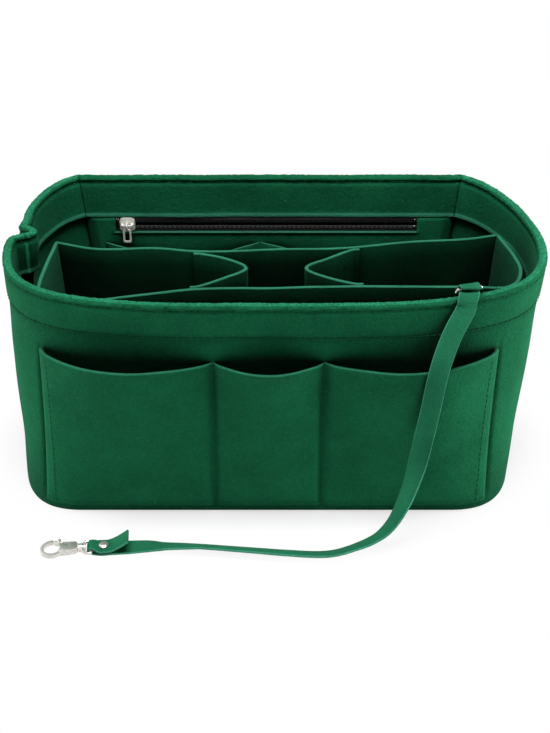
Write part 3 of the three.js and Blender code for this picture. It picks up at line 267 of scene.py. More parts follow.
def wall_frame(signed, z):
    """Outer face of the front and ends: points, directions and inward directions."""
    signed = np.atleast_1d(np.asarray(signed, float))
    point, along, inward = (np.zeros((len(signed), 2)) for _ in range(3))
    for side in (-1, 1):
        pick = signed < 0 if side < 0 else signed >= 0
        share, points, tangents = half_outline(z, side)
        s = np.abs(signed[pick])
        p = between(s, share, points)
        d = between(s, share, tangents)
        if side < 0:
            rise = smoothstep(z, PLEAT_FOOT, RIM_HEIGHT)
            reach = (p[:, 1] - PLEAT_Y) / PLEAT_HALF_WIDTH
            dent = PLEAT_DEPTH * rise * np.exp(-reach * reach)
            behind = (p[:, 1] - PLEAT_Y - TUCK_FROM_PLEAT) / TUCK_HALF_WIDTH
            tuck = TUCK_DEPTH * rise * np.exp(-behind * behind)
            p[:, 0] -= dent + tuck
            d[:, 0] += 2 * (dent * reach / PLEAT_HALF_WIDTH + tuck * behind / TUCK_HALF_WIDTH) * d[:, 1]
        d /= np.linalg.norm(d, axis=1)[:, None]
        point[pick] = p * (side, 1)
        along[pick] = d * (side, 1)
        inward[pick] = np.stack([-d[:, 1] * side, d[:, 0]], axis=1)
    return point, along, inward


def corner_mitre(side, z):
    _, _, inward = wall_frame([side], z)
    mitre = inward[0] + (0, -1)
    mitre /= np.linalg.norm(mitre)
    return mitre / mitre.dot(inward[0])


def wall_points(signed, z, inset):
    """Points at an inset from the outer face, all at height z."""
    signed = np.atleast_1d(np.asarray(signed, float))
    point, _, inward = wall_frame(signed, z)
    for k in np.flatnonzero(np.abs(signed) == 1):
        inward[k] = corner_mitre(int(signed[k]), z)
    return at_height(point + inward * np.reshape(inset, (-1, 1)), z)


def front_share(x, z):
    side = -1 if x < 0 else 1
    share, points, _ = half_outline(z, side)
    near = share < FRONT_PART
    return side * np.interp(abs(x), points[near, 0], share[near])


def back_points(x, z, inset):
    """Points at an inset from the back wall's outer face."""
    x, z, inset = np.broadcast_arrays(*(np.asarray(v, float) for v in (x, z, inset)))
    return np.stack([x, half_width(z) - inset, z], axis=-1)


# Meshes


def in_scene(name, data):
    thing = bpy.data.objects.new(name, data)
    bpy.context.scene.collection.objects.link(thing)
    return thing


def link(name, mesh, body, slot_name, material, *nodes):
    piece = in_scene(name, mesh)
    mesh.materials.append(material)
    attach(piece, body)
    if nodes:
        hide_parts(*nodes)
    return piece


def show_cut(piece, around, places, material):
    """Gives some places round a lofted section their own material."""
    piece.data.materials.append(material)
    last = len(piece.data.materials) - 1
    for polygon in piece.data.polygons:
        if polygon.index % around in places:
            polygon.material_index = last


def mesh_of(name, points, faces):
    mesh = bpy.data.meshes.new(name)
    mesh.from_pydata((np.asarray(points) * MM).tolist(), [], faces)
    work = bmesh.new()
    work.from_mesh(mesh)
    bmesh.ops.delete(work, geom=[v for v in work.verts if not v.link_faces], context="VERTS")
    bmesh.ops.recalc_face_normals(work, faces=work.faces)
    work.to_mesh(mesh)
    work.free()
    mesh.shade_smooth()
    return mesh


def green_piece(name, shape, material, *nodes, body="tub"):
    """A piece of felt or thread, from points and faces."""
    return link(name, mesh_of(name, *shape), body, "green_felt", material, *nodes)


def loft(rings):
    """Faces over a run of closed rings of equal count, with a cap at each end."""
    rings = np.asarray(rings, float)
    count, around = rings.shape[:2]
    faces = []
    for low in range(0, (count - 1) * around, around):
        high = low + around
        for k in range(around):
            m = (k + 1) % around
            faces.append((low + k, low + m, high + m, high + k))
    faces.append(tuple(range(around)))
    faces.append(tuple((count - 1) * around + k for k in reversed(range(around))))
    return rings.reshape(-1, 3), faces


def slab(front, back, keep=None):
    """A sheet between two point grids, with holes where keep is false."""
    rows, columns = front.shape[:2]
    keep = np.ones((rows - 1, columns - 1), bool) if keep is None else keep
    points = np.concatenate([front.reshape(-1, 3), back.reshape(-1, 3)])
    half = rows * columns
    faces = []

    def kept(r, c):
        return 0 <= r < rows - 1 and 0 <= c < columns - 1 and keep[r, c]

    for r, c in np.argwhere(keep):
        a = r * columns + c
        b, d, e = a + 1, a + columns + 1, a + columns
        faces.append((a, b, d, e))
        faces.append((half + a, half + e, half + d, half + b))
        for p, q, down, right in ((a, b, -1, 0), (b, d, 0, 1), (d, e, 1, 0), (e, a, 0, -1)):
            if not kept(r + down, c + right):
                faces.append((q, p, half + p, half + q))
    return points, faces


def uneven(points, size, height, seed):
    """Gentle lumps of felt: a sum of sines with set phases, in millimetres."""
    points = np.asarray(points, float)
    total = np.zeros(points.shape[:-1])
    for k in range(6):
        turn = seed * 1.7 + k * 2.399
        tilt = math.sin(seed + k * 1.3)
        wave = np.array([math.cos(turn), math.sin(turn), tilt]) * 2 * math.pi / (size * (0.6 + 0.17 * k))
        total += np.sin(points @ wave + turn * 3.1)
    return height * total / 3


# Stitches

# Places along a stitch, in shares of its length, and the share of its radius there
STITCH_SHAPE = [(-0.5, 0.35), (-0.42, 0.9), (0, 1), (0.42, 0.9), (0.5, 0.35)]
STITCH_RISE = 0.55
STITCH_SAG = 2.6
TANGENT_REACH = 0.3


def stitches(lines):
    """Short threads along lines of (points, outward directions)."""
    turns = [2 * math.pi * s / THREAD_SIDES for s in range(THREAD_SIDES)]
    points, faces = [], []
    for path, out in lines:
        path, out = np.asarray(path, float), np.asarray(out, float)
        run = run_along(path)
        for start in np.arange(STITCH_PITCH / 2, run[-1] - STITCH_PITCH / 2, STITCH_PITCH):
            rings = []
            for share, thick in STITCH_SHAPE:
                at = start + share * STITCH_LENGTH
                ahead, behind = between([at + TANGENT_REACH, at - TANGENT_REACH], run, path)
                step = ahead - behind
                along = step / (np.linalg.norm(step) + 1e-9)
                up = between(at, run, out)
                up -= along * up.dot(along)
                up /= np.linalg.norm(up)
                across = np.cross(along, up)
                height = THREAD_RADIUS * (STITCH_RISE - STITCH_SAG * share * share)
                centre = between(at, run, path) + up * height
                radius = THREAD_RADIUS * thick
                rings.append([centre + radius * (across * math.cos(a) + up * math.sin(a)) for a in turns])
            stitch_points, stitch_faces = loft(rings)
            faces += [tuple(len(points) + k for k in face) for face in stitch_faces]
            points.extend(stitch_points)
    return points, faces


def wall_line(z, inset, facing):
    """A stitch line round the front and ends at height z, facing outward or inward."""
    signed = np.linspace(-1, 1, 500)
    path = wall_points(signed, z, inset)
    _, _, inward = wall_frame(signed, z)
    path[:, :2] += inward * wall_lumps(path, signed)[:, None]
    path[:, 2] += rim_lift(path)
    return path, np.column_stack([-inward * facing, np.zeros(len(path))])


def back_line(z, inset, facing):
    """The same along the back, which ends short of the corners."""
    reach = back_corner(z) - BACK_STITCH_MARGIN
    path = back_points(np.linspace(-reach, reach, 200), z, inset)
    path[:, 1] += back_lumps(path)
    path[:, 2] += rim_lift(path)
    return path, np.tile((0, facing, 0), (len(path), 1))


def surface_line(grid, place):
    """A stitch line along one row or column of a grid of surface points."""
    normal = np.cross(np.gradient(grid, axis=1), np.gradient(grid, axis=0))
    normal /= np.linalg.norm(normal, axis=-1)[..., None] + 1e-9
    return grid[place], normal[place]


def seam_lines(grid, margin):
    """The lines up a pocket panel that are sewn: one near each side, and the seams between."""
    last = grid.shape[1] - 1
    columns = [margin, *range(POCKET_COLUMNS, last, POCKET_COLUMNS), last - margin]
    return [surface_line(grid, np.s_[:, column]) for column in columns]


# Materials


def nodes_of(name):
    material = bpy.data.materials.new(name)
    material.use_nodes = True
    tree = material.node_tree
    return material, tree, tree.nodes["Principled BSDF"]


def settings(node, **inputs):
    """Sets or links inputs of a node by name, with _ for a space."""
    for name, value in inputs.items():
        socket = node.inputs[name.replace("_", " ")]
        if isinstance(value, bpy.types.NodeSocket):
            node.id_data.links.new(value, socket)
        else:
            socket.default_value = value
    return node


def add(tree, kind, **inputs):
    return settings(tree.nodes.new("ShaderNode" + kind), **inputs)


def object_place(tree):
    return add(tree, "TexCoord").outputs["Object"]


def noise(tree, scale, detail, roughness, stretch=(1, 1, 1)):
    place = add(tree, "Mapping", Scale=stretch, Vector=object_place(tree)).outputs["Vector"]
    texture = add(tree, "TexNoise", Scale=scale, Detail=detail, Roughness=roughness, Vector=place)
    return texture.outputs["Fac"]


def ramp(tree, factor, stops):
    node = add(tree, "ValToRGB", Fac=factor)
    elements = node.color_ramp.elements
    while len(elements) < len(stops):
        elements.new(0.5)
    for element, (place, colour) in zip(elements, stops):
        element.position = place
        element.color = (*colour, 1)
    return node.outputs["Color"]


def blend_colour(tree, kind, a, b):
    node = add(tree, "Mix")
    node.data_type = "RGBA"
    node.blend_type = kind
    return settings(node, Factor=1.0, A=a, B=b).outputs["Result"]


def combine(tree, operation, a, b):
    node = add(tree, "Math")
    node.operation = operation
    tree.links.new(a, node.inputs[0])
    tree.links.new(b, node.inputs[1])
    return node.outputs[0]


def smooth_range(tree, value, span, ends):
    """Goes smoothly between two ends while the value crosses the span."""
    node = add(tree, "MapRange", Value=value)
    node.interpolation_type = "SMOOTHSTEP"
    settings(node, From_Min=span[0], From_Max=span[1], To_Min=ends[0], To_Max=ends[1])
    return node.outputs["Result"]


def grey(level):
    return (level, level, level)


def tones(colour, *factors):
    """A colour made darker or lighter by each factor."""
    return [tuple(c * k for c in colour) for k in factors]


def bump(tree, height, strength, distance, under=None):
    node = add(tree, "Bump", Strength=strength, Distance=distance, Height=height)
    if under is not None:
        settings(node, Normal=under)
    return node.outputs["Normal"]


# Heights in metres between which felt faces the floor, and how open it then counts at least, so that the
# foot gets little painted shade
NEAR_FLOOR = (0.025, 0.075)
FLOOR_OPENNESS = 0.75


def painted_occlusion(tree, reach, darkest_shade, span):
    """Painted shade: ambient occlusion darkens the felt's colour where other felt is close, apart from the
    foot, which faces the floor.
    """
    node = add(tree, "AmbientOcclusion", Distance=reach)
    node.samples = 8
    place = add(tree, "SeparateXYZ", Vector=object_place(tree))
    near_floor = smooth_range(tree, place.outputs["Z"], NEAR_FLOOR, (FLOOR_OPENNESS, 0))
    openness = combine(tree, "MAXIMUM", node.outputs["AO"], near_floor)
    return ramp(tree, openness, [(span[0], grey(darkest_shade)), (span[1], grey(1))])


# Noise scales of felt, its tone's swing among the fibres, and the colour that lint adds
FIBRE_SCALE = 1150
MAT_SCALE = 430
CLOUD_SCALE = 36
FLECK_SCALE = 760
DARK_SWING = 0.24
LIGHT_SWING = 0.3
LINT_TONE = (0.045, 0.11, 0.078)


def felt_material(
    name, tone, grain=1.0, lint=1.0, rough_nap=1.0, contrast=1.0, reach=0.03, darkest_shade=0.25, span=(0.2, 0.8)
):
    """Needled felt: matted fibres, cloudy tone, pale lint, a soft sheen, and painted shade from ambient
    occlusion in its colour.
    """
    material, tree, shader = nodes_of(name)
    fibres = noise(tree, FIBRE_SCALE * grain, 3, 0.75)
    mat = noise(tree, MAT_SCALE * grain, 4, 0.7)
    cloud = noise(tree, CLOUD_SCALE, 3, 0.6)
    flecks = noise(tree, FLECK_SCALE * grain, 2, 0.5, (1, 1, 1.6))
    dark, middle, light = tones(tone, 1 - DARK_SWING * contrast, 1, 1 + LIGHT_SWING * contrast)
    (pale,) = tones(LINT_TONE, lint)
    colour = ramp(tree, fibres, [(0.28, dark), (0.5, middle), (0.74, light)])
    tuft = ramp(tree, mat, [(0.3, grey(0.88)), (0.66, grey(1.06))])
    shade = ramp(tree, cloud, [(0.3, grey(0.8)), (0.7, grey(1.08))])
    speck = ramp(tree, flecks, [(0.69, grey(0)), (0.77, pale)])
    # Painted shade: ambient occlusion darkens the colour where other felt is close
    painted_shade = painted_occlusion(tree, reach, darkest_shade, span)
    for kind, layer in (("MULTIPLY", tuft), ("MULTIPLY", shade), ("ADD", speck), ("MULTIPLY", painted_shade)):
        colour = blend_colour(tree, kind, colour, layer)
    rough = ramp(tree, mat, [(0.2, grey(0.9)), (0.8, grey(1))])
    coarse = bump(tree, mat, 0.5, 0.0012 * rough_nap)
    nap = bump(tree, fibres, 0.4, 0.0006, coarse)
    settings(shader, Base_Color=colour, Roughness=rough, Normal=nap, Specular_IOR_Level=0.04)
    settings(shader, Sheen_Weight=0.1, Sheen_Roughness=0.4, Sheen_Tint=(0.2, 0.9, 0.5, 1))
    return material


def thread_material(name, tone):
    """Twisted sewing thread."""
    material, tree, shader = nodes_of(name)
    twist = noise(tree, 2400, 2, 0.5, (1, 1, 2.5))
    dark, light = tones(tone, 0.5, 1.2)
    colour = ramp(tree, twist, [(0.35, dark), (0.65, light)])
    settings(shader, Base_Color=colour, Normal=bump(tree, twist, 0.4, 0.0002))
    settings(shader, Roughness=0.8, Specular_IOR_Level=0.08)
    return material


RUB_ROUGHNESS = 0.07


def nickel_material(name, tone, roughness, metallic):
    """Nickel plate, cloudy in tone, with faint rub marks."""
    material, tree, shader = nodes_of(name)
    rub = noise(tree, 2600, 3, 0.6, (1, 1, 0.25))
    patch = noise(tree, 120, 2, 0.5)
    low, high = tones(tone, 0.93, 1.04)
    colour = ramp(tree, patch, [(0.3, low), (0.7, high)])
    rough = ramp(tree, rub, [(0.3, grey(roughness)), (0.75, grey(roughness + RUB_ROUGHNESS))])
    settings(shader, Base_Color=colour, Roughness=rough, Metallic=metallic)
    return material


def tape_material():
    """Black woven zip tape."""
    material, tree, shader = nodes_of("zip_tape_weave")
    weave = add(tree, "TexWave", Scale=700, Distortion=1.5, Vector=object_place(tree)).outputs["Fac"]
    colour = ramp(tree, weave, [(0.2, grey(0.004)), (0.8, (0.02, 0.018, 0.019))])
    settings(shader, Base_Color=colour, Roughness=0.85, Normal=bump(tree, weave, 0.4, 0.0002))
    return material


def teeth_material():
    """Black moulded teeth."""
    material, tree, shader = nodes_of("zip_teeth_moulded")
    patch = noise(tree, 600, 3, 0.6)
    colour = ramp(tree, patch, [(0.3, (0.006, 0.005, 0.005)), (0.7, (0.014, 0.012, 0.012))])
    rough = ramp(tree, patch, [(0.3, grey(0.5)), (0.7, grey(0.7))])
    settings(shader, Base_Color=colour, Roughness=rough, Specular_IOR_Level=0.25)
    return material


GREEN = (0.0082, 0.128, 0.0535)
# The divider's green is the felt's green at about seven tenths: painted shade for the deep cells
INNER_SHADE_GREEN = (0.006, 0.09, 0.038)
LINING_GREEN = (0.0085, 0.13, 0.056)
# A paler green for the pockets' mouths: partly the look of cut fibres, partly a painted highlight
MOUTH_CUT_AND_HIGHLIGHT_GREEN = (0.022, 0.165, 0.088)
STRAP_GREEN = (0.016, 0.16, 0.077)
# A paler green for the strap's edges: partly the look of cut fibres, partly a painted highlight
STRAP_CUT_AND_HIGHLIGHT_GREEN = (0.06, 0.3, 0.19)
# A paler green for cut edges and the zip sill's lip: partly the look of cut fibres, partly a painted
# highlight
CUT_AND_HIGHLIGHT_GREEN = (0.031, 0.2, 0.117)
# A lighter green for the rim's crown: a painted highlight
RIM_HIGHLIGHT_GREEN = (0.019, 0.203, 0.098)
THREAD_GREEN = (0.007, 0.105, 0.045)
SATIN_NICKEL = (0.68, 0.665, 0.615)
CAST_NICKEL = (0.88, 0.86, 0.8)
BRIGHT_NICKEL = (0.42, 0.42, 0.4)
# Every felt carries painted shade in its colour. green_felt, green_hem_felt and green_pocket_felt share one
# green and differ only in how strong that painted shade is.
felt = felt_material("green_felt", GREEN, reach=0.05, darkest_shade=0.1, span=(0.5, 0.92))
# The inner hem: the same green with weaker painted shade
hem_felt = felt_material("green_hem_felt", GREEN, reach=0.08, darkest_shade=0.25, span=(0.3, 0.7))
pocket_felt = felt_material("green_pocket_felt", GREEN, reach=0.01, darkest_shade=0.12, span=(0.42, 0.9))
lining_felt = felt_material(
    "green_lining_felt", LINING_GREEN, 1.3, 0.5, reach=0.05, darkest_shade=0.1, span=(0.4, 0.92)
)
# Painted shade: a darker copy of the felt with strong painted occlusion, for the divider and the ring's tab
inner_shade_felt = felt_material(
    "green_inner_painted_shade", INNER_SHADE_GREEN, 1.3, 0.5, reach=0.08, darkest_shade=0.06, span=(0.3, 0.95)
)
strap_felt = felt_material("green_strap_felt", STRAP_GREEN, 1.8, 0.4)
# The strap's edges: paler cut fibres and a painted highlight
strap_cut_and_highlight = felt_material("green_strap_cut_and_highlight", STRAP_CUT_AND_HIGHLIGHT_GREEN, 1.6, 0.4)
# Pocket mouths: paler cut fibres and a painted highlight
mouth_cut_and_highlight_felt = felt_material("green_mouth_cut_and_highlight", MOUTH_CUT_AND_HIGHLIGHT_GREEN, 1.2, 0.6)
# Cut edges: paler cut fibres with a painted highlight; on the zip sill's folded lip it is painted highlight
# alone
cut_and_highlight_felt = felt_material("green_cut_and_highlight", CUT_AND_HIGHLIGHT_GREEN, 1.6, 0.4)
# Painted highlight: the rolled rim's crown is lighter, with coarser fuzz and lint
rim_highlight_felt = felt_material("green_rim_painted_highlight", RIM_HIGHLIGHT_GREEN, 0.8, 1.4, 2.6, contrast=2.5, span=(0.35, 0.85))
thread = thread_material("green_thread", THREAD_GREEN)
satin_nickel = nickel_material("nickel_satin", SATIN_NICKEL, 0.26, 0.75)
cast_nickel = nickel_material("nickel_cast", CAST_NICKEL, 0.3, 0.35)
bright_nickel = nickel_material("nickel_bright", BRIGHT_NICKEL, 0.16, 1.0)
tape = tape_material()
teeth = teeth_material()


# Walls with the turned hem


def groove(z, at, depth):
    return depth * math.exp(-(((z - at) / GROOVE_WIDTH) ** 2))


def below_hem(z):
    """The single layer sits back a little under the double hem."""
    return BELOW_HEM * smoothstep(z, *BELOW_HEM_RISE) * (1 - smoothstep(z, *BELOW_HEM_END))


def flare(z):
    """The hem's cut edge stands off the wall a little."""
    return HEM_FLARE * math.exp(-(((z - HEM_EDGE_Z) / FLARE_WIDTH) ** 2))


def wall_profile():
    """The wall's section as (inset, height): up the outside, over the rolled rim, down the inside."""
    fold = HEM_THICKNESS / 2
    fine_from = 106
    outside = [(0.9, 0.0), (0.35, 0.2), (0.05, 0.8)]
    up = np.concatenate([np.arange(3, fine_from, 4), np.arange(fine_from, RIM_HEIGHT - fold, 0.6)])
    outside += [
        (groove(z, HEM_STITCH_Z, HEM_GROOVE) + groove(z, RIM_STITCH_Z, OUTER_RIM_GROOVE) + below_hem(z), z)
        for z in up
    ]
    arc = [
        (fold - fold * math.cos(a), RIM_HEIGHT - fold + fold * math.sin(a))
        for a in np.linspace(0.12, math.pi - 0.12, 15)
    ]
    down = np.arange(RIM_HEIGHT - fold - 0.3, HEM_EDGE_Z + 1.2, -0.8)
    inside = [(HEM_THICKNESS - groove(z, RIM_STITCH_Z, INNER_RIM_GROOVE) + flare(z), z) for z in down]
    lip = HEM_THICKNESS + HEM_FLARE
    edge = [
        (lip, HEM_EDGE_Z + 0.5), (lip - 0.25, HEM_EDGE_Z + 0.1), (lip - 0.8, HEM_EDGE_Z),
        (WALL_FELT + 0.5, HEM_EDGE_Z), (WALL_FELT + 0.1, HEM_EDGE_Z - 0.1), (WALL_FELT, HEM_EDGE_Z - 0.5),
    ]
    lower = [(WALL_FELT, z) for z in np.arange(105, 3, -6.8)]
    start = len(outside + arc + inside)
    section = outside + arc + inside + edge + lower + [(WALL_FELT, 0.8), (WALL_FELT - 0.4, 0.1)]
    return section, range(start - 2, start + len(edge) - 1)


profile, hem_edge = wall_profile()
rim_places = [k for k, (_, z) in enumerate(profile) if z > RIM_STITCH_Z + 0.3]
crown_highlight_places = [k for k, (_, z) in enumerate(profile) if z > RIM_HEIGHT - RIM_HIGHLIGHT_DROP]
above_edge = profile[: hem_edge[0]]
hem_places = [k for k, (inset, z) in enumerate(above_edge) if inset > WALL_FELT + 1 and z < RIM_STITCH_Z]
front_seams = [
    front_share(x, POCKET_TOP)
    for x in (-FRONT_POCKET_EDGE, -POCKET_SEAM_X, POCKET_SEAM_X, FRONT_POCKET_EDGE)
]


def edge_crease(share, z):
    """The wall is drawn in along the outer edges of the front pockets."""
    left = np.abs(share - front_seams[0] + CREASE_AWAY)
    right = np.abs(share - front_seams[-1] - CREASE_AWAY)
    rise = smoothstep(z, *CREASE_RISE) * (1 - smoothstep(z, *CREASE_END))
    return CREASE_DEPTH * np.exp(-((np.minimum(left, right) / CREASE_WIDTH) ** 2)) * rise


def wall_lumps(points, share):
    """How far the front and ends go in: lumps, calmer at the hem, and the pockets' creases."""
    z = points[..., 2]
    calm = 1 - HEM_CALM * smoothstep(z, *HEM_CALM_RISE)
    settle = smoothstep(z, *LUMP_RISE) * calm * (1 - np.abs(share) ** WALL_END_POWER)
    return uneven(points, WALL_LUMP_SIZE, LUMP_HEIGHT, 3.0) * settle + edge_crease(share, z)


def back_lumps(points):
    across = points[..., 0] / back_corner(points[..., 2])
    settle = smoothstep(points[..., 2], *LUMP_RISE)
    return uneven(points, BACK_LUMP_SIZE, LUMP_HEIGHT, 8.0) * settle * (1 - np.abs(across) ** BACK_END_POWER)


def rim_lift(points):
    """The rim stands a little fuller along the back."""
    rise = BACK_RIM_RISE * smoothstep(points[..., 2], *BACK_RIM_HEIGHTS)
    return rise * smoothstep(points[..., 1], *BACK_RIM_DEPTHS)


def rim_nap(rings, draw):
    """Loose fibres make the rolled rim uneven."""
    loose = np.zeros(rings.shape)
    fibres = draw.normal(0, RIM_NAP, (len(rings), len(rim_places), 3))
    loose[:, rim_places] = np.clip(fibres, -2 * RIM_NAP, 2 * RIM_NAP)
    loose[[0, -1]] = 0
    return rings + loose


def wall_rings():
    """Sections round the front and both ends, closer together at the pleat."""
    signed = np.unique(np.concatenate([np.linspace(-1, 1, 521), np.linspace(-0.8, -0.6, 101)]))
    rings = np.stack([wall_points(signed, z, inset) for inset, z in profile], axis=1)
    _, _, inward = wall_frame(signed, RIM_HEIGHT)
    rings[..., :2] += inward[:, None, :] * wall_lumps(rings, signed[:, None])[..., None]
    rings[..., 2] += rim_lift(rings)
    return rim_nap(rings, np.random.default_rng(11))


def back_wall_rings():
    """Sections along the back, mitred to the ends at its corners."""
    rings = []
    for u in np.linspace(-1, 1, 161):
        ring = []
        for inset, z in profile:
            mitre = corner_mitre(1, z)
            x = u * (back_corner(z) + mitre[0] * inset)
            ring.append((x, half_width(z) - inset * abs(mitre[1]), z))
        rings.append(ring)
    rings = np.array(rings)
    rings[..., 1] += back_lumps(rings)
    rings[..., 2] += rim_lift(rings)
    return rim_nap(rings, np.random.default_rng(12))


wall = green_piece("wall_felt", loft(wall_rings()), felt, "front_and_end_wall")
# The hem's cut edge: paler fibres and a painted highlight
show_cut(wall, len(profile), hem_edge, cut_and_highlight_felt)
# Painted highlight on the rim's crown
show_cut(wall, len(profile), crown_highlight_places, rim_highlight_felt)
# The inner hem takes the same green with weaker painted shade
show_cut(wall, len(profile), hem_places, hem_felt)
back_wall = green_piece("back_wall_felt", loft(back_wall_rings()), felt, "back_wall")
# The back hem's cut edge: paler fibres and a painted highlight
show_cut(back_wall, len(profile), hem_edge, cut_and_highlight_felt)
show_cut(back_wall, len(profile), hem_places, hem_felt)


def base_rings():
    """The base's edge, rounded between its underside and its top."""
    around = np.linspace(-1, 1, 321)
    point, _, inward = wall_frame(around, 0)
    lean = wall_frame(around, BASE_FELT)[0] - point
    drawn_in = np.maximum(0, (lean * inward).sum(1))
    rings = []
    for inset, z in [(0.5, 0.0), (0.1, 0.4), (0.0, 1.5), (0.1, 2.6), (0.5, BASE_FELT)]:
        depth = WALL_FELT - 2 * SEWN_DEPTH + drawn_in + inset
        rings.append(at_height(point + inward * depth[:, None], z))
    return rings


green_piece("base_felt", loft(base_rings()), felt, "base_panel")


# Pockets

POCKET_COLUMNS = 46
POCKET_ROWS = 40
EDGE_ROUND = 0.45
# Distances from the mouth or foot, and shares of the felt's thickness
MOUTH_EDGE = [(0.1, 0.86), (0, 0.62), (0, 0.38), (0.1, 0.14)]
FOOT_EDGE = [(0.1, 0.14), (0, 0.4), (0, 0.65), (0.1, 0.9)]
MOUTH_PLACES = range(POCKET_ROWS - 1, POCKET_ROWS + len(MOUTH_EDGE))
SEAM_PINCH = 0.85
SIDE_PINCH = 0.1
PINCH_SPREAD = 1.1
LOOSE_BY_HEIGHT = 8
LOOSE_BY_SWELL = 5
# A front seam's place is a share of the wall, below the limit; the others are millimetres
SHARE_LIMIT = 1.5
SHARE_LENGTH = 260


def pocket_sections(seams, bulge, foot, top_at, thickness, lay, seed):
    """Closed sections across a pocket panel from side to side, and its outer surface as a grid."""
    pockets = len(seams(foot)) - 1
    columns = [np.linspace(k, k + 1, POCKET_COLUMNS, endpoint=False) for k in range(pockets)]
    rows = np.linspace(0, 1, POCKET_ROWS)
    sections, grid = [], []
    for u in np.concatenate(columns + [[pockets]]):
        k = min(int(u), pockets - 1)
        share = u - k
        swell = math.sin(math.pi * share)
        top = top_at(swell)
        beside_seam = min(share, 1 - share) * POCKET_COLUMNS
        pinch = SEAM_PINCH if 0.5 < u < pockets - 0.5 else SIDE_PINCH
        pinch *= math.exp(-(beside_seam**2) / PINCH_SPREAD)

        def point(z, depth):
            v = (z - foot) / (top - foot)
            x = mix(seams(z)[k], seams(z)[k + 1], share)
            loose = min(1, LOOSE_BY_HEIGHT * v, LOOSE_BY_SWELL * swell)
            out = mix(-SEWN_DEPTH, POCKET_GAP, loose) + bulge * swell**SWELL_POWER * v**RISE_POWER
            across = x * SHARE_LENGTH if abs(x) < SHARE_LIMIT else x
            lump = float(uneven(np.array([across, 0, z]), POCKET_LUMP_SIZE, LUMP_HEIGHT, seed))
            lump *= min(1, 4 * swell) * min(1, 3 * v + 0.05)
            return lay(x, z, out + depth * (1 - pinch) + lump)

        heights = [mix(foot + EDGE_ROUND, top - EDGE_ROUND, v) for v in rows]
        outer = [point(z, thickness) for z in heights]
        inner = [point(z, 0) for z in reversed(heights)]
        mouth = [point(top - drop, thickness * part) for drop, part in MOUTH_EDGE]
        hem = [point(foot + rise, thickness * part) for rise, part in FOOT_EDGE]
        sections.append(outer + mouth + inner + hem)
        grid.append(outer)
    return np.array(sections), np.array(grid).transpose(1, 0, 2)


def outer_pocket(side, seams, lay, seed):
    """A panel of three pockets on the front or the back, and its outer surface."""
    sections, grid = pocket_sections(
        lambda z: seams, POCKET_BULGE, POCKET_FOOT, lambda swell: POCKET_TOP, POCKET_FELT, lay, seed
    )
    panel = green_piece(side + "_pocket_felt", loft(sections), pocket_felt, side + "_pocket_panel")
    # The mouth's edge: paler cut fibres and a painted highlight
    show_cut(panel, sections.shape[1], MOUTH_PLACES, mouth_cut_and_highlight_felt)
    return grid


def front_lay(share, z, out):
    return wall_points([share], z, -out)[0]


def back_lay(x, z, out):
    return back_points(x, z, -out)


back_seams = [-BACK_POCKET_EDGE, -POCKET_SEAM_X, POCKET_SEAM_X, BACK_POCKET_EDGE]
front_grid = outer_pocket("front", front_seams, front_lay, 2.0)
back_grid = outer_pocket("back", back_seams, back_lay, 5.0)


# Zip pocket panel with its window


def zip_panel_half(z):
    return back_corner(z) - ZIP_PANEL_MARGIN


def zip_panel_inset(x, z):
    from_side = (zip_panel_half(z) - np.abs(x)) / ZIP_PANEL_TAPER
    from_foot = (z - BASE_FELT - SEAT_GAP) / ZIP_PANEL_TAPER
    stand = np.clip(np.minimum(from_side, from_foot), 0, 1)
    return mix(WALL_FELT + SEAT_GAP, ZIP_PANEL_INSET, stand)


ZIP_SILL = ZIP_Z - ZIP_WINDOW / 2
SILL_LIP = 0.9
SILL_LIP_WIDTH = 1.5
SILL_LIP_REACH = 93.0
SILL_BAND = 4.0


def zip_panel():
    """The panel's sheet, which stands up in a lip along the window's sill."""
    below = np.linspace(BASE_FELT + SEAT_GAP, ZIP_SILL - SILL_BAND, 34)
    near = np.linspace(ZIP_SILL - SILL_BAND, ZIP_SILL, 8)[1:]
    above = np.linspace(ZIP_SILL, HEM_EDGE_Z - SEAT_GAP, 6)[1:]
    left = np.linspace(0, 1, 17)[:-1]
    middle = np.linspace(0, 1, 121)[:-1]
    right = np.linspace(0, 1, 17)
    front, back = [], []
    for z in np.concatenate([below, near, above]):
        half = zip_panel_half(z)
        x = np.concatenate([
            mix(-half, ZIP_LEFT, left), mix(ZIP_LEFT, ZIP_RIGHT, middle), mix(ZIP_RIGHT, half, right),
        ])
        inset = zip_panel_inset(x, z)
        at_window = np.abs(x - (ZIP_LEFT + ZIP_RIGHT) / 2) < SILL_LIP_REACH
        lip = SILL_LIP * np.exp(-(((z - ZIP_SILL) / SILL_LIP_WIDTH) ** 2)) * at_window
        back.append(back_points(x, z, inset))
        front.append(back_points(x, z, inset + INNER_FELT + lip))
    front, back = np.array(front), np.array(back)
    rows, columns = front.shape[:2]
    keep = np.ones((rows - 1, columns - 1), bool)
    keep[-len(above) :, len(left) : len(left) + len(middle)] = False
    return slab(front, back, keep)


zip_pocket = green_piece("zip_pocket_felt", zip_panel(), lining_felt, "zip_pocket_panel")
# Painted highlight along the top of the sill's folded lip, in the paler cut-edge green
zip_pocket.data.materials.append(cut_and_highlight_felt)
for polygon in zip_pocket.data.polygons:
    x, _, z = polygon.center / MM
    if ZIP_SILL - 1.2 < z < ZIP_SILL + 0.1 and ZIP_LEFT - 1 < x < ZIP_RIGHT + 1:
        polygon.material_index = 1


def slip_seams(z):
    edge = zip_panel_half(z) - ZIP_PANEL_TAPER - SLIP_SIDE_MARGIN
    return [-edge, SLIP_SEAM_X, edge]


def slip_top(swell):
    return SLIP_PEAK - SLIP_DIP * swell**SLIP_DIP_POWER


def slip_lay(x, z, out):
    return back_points(x, z, zip_panel_inset(x, z) + INNER_FELT + out)


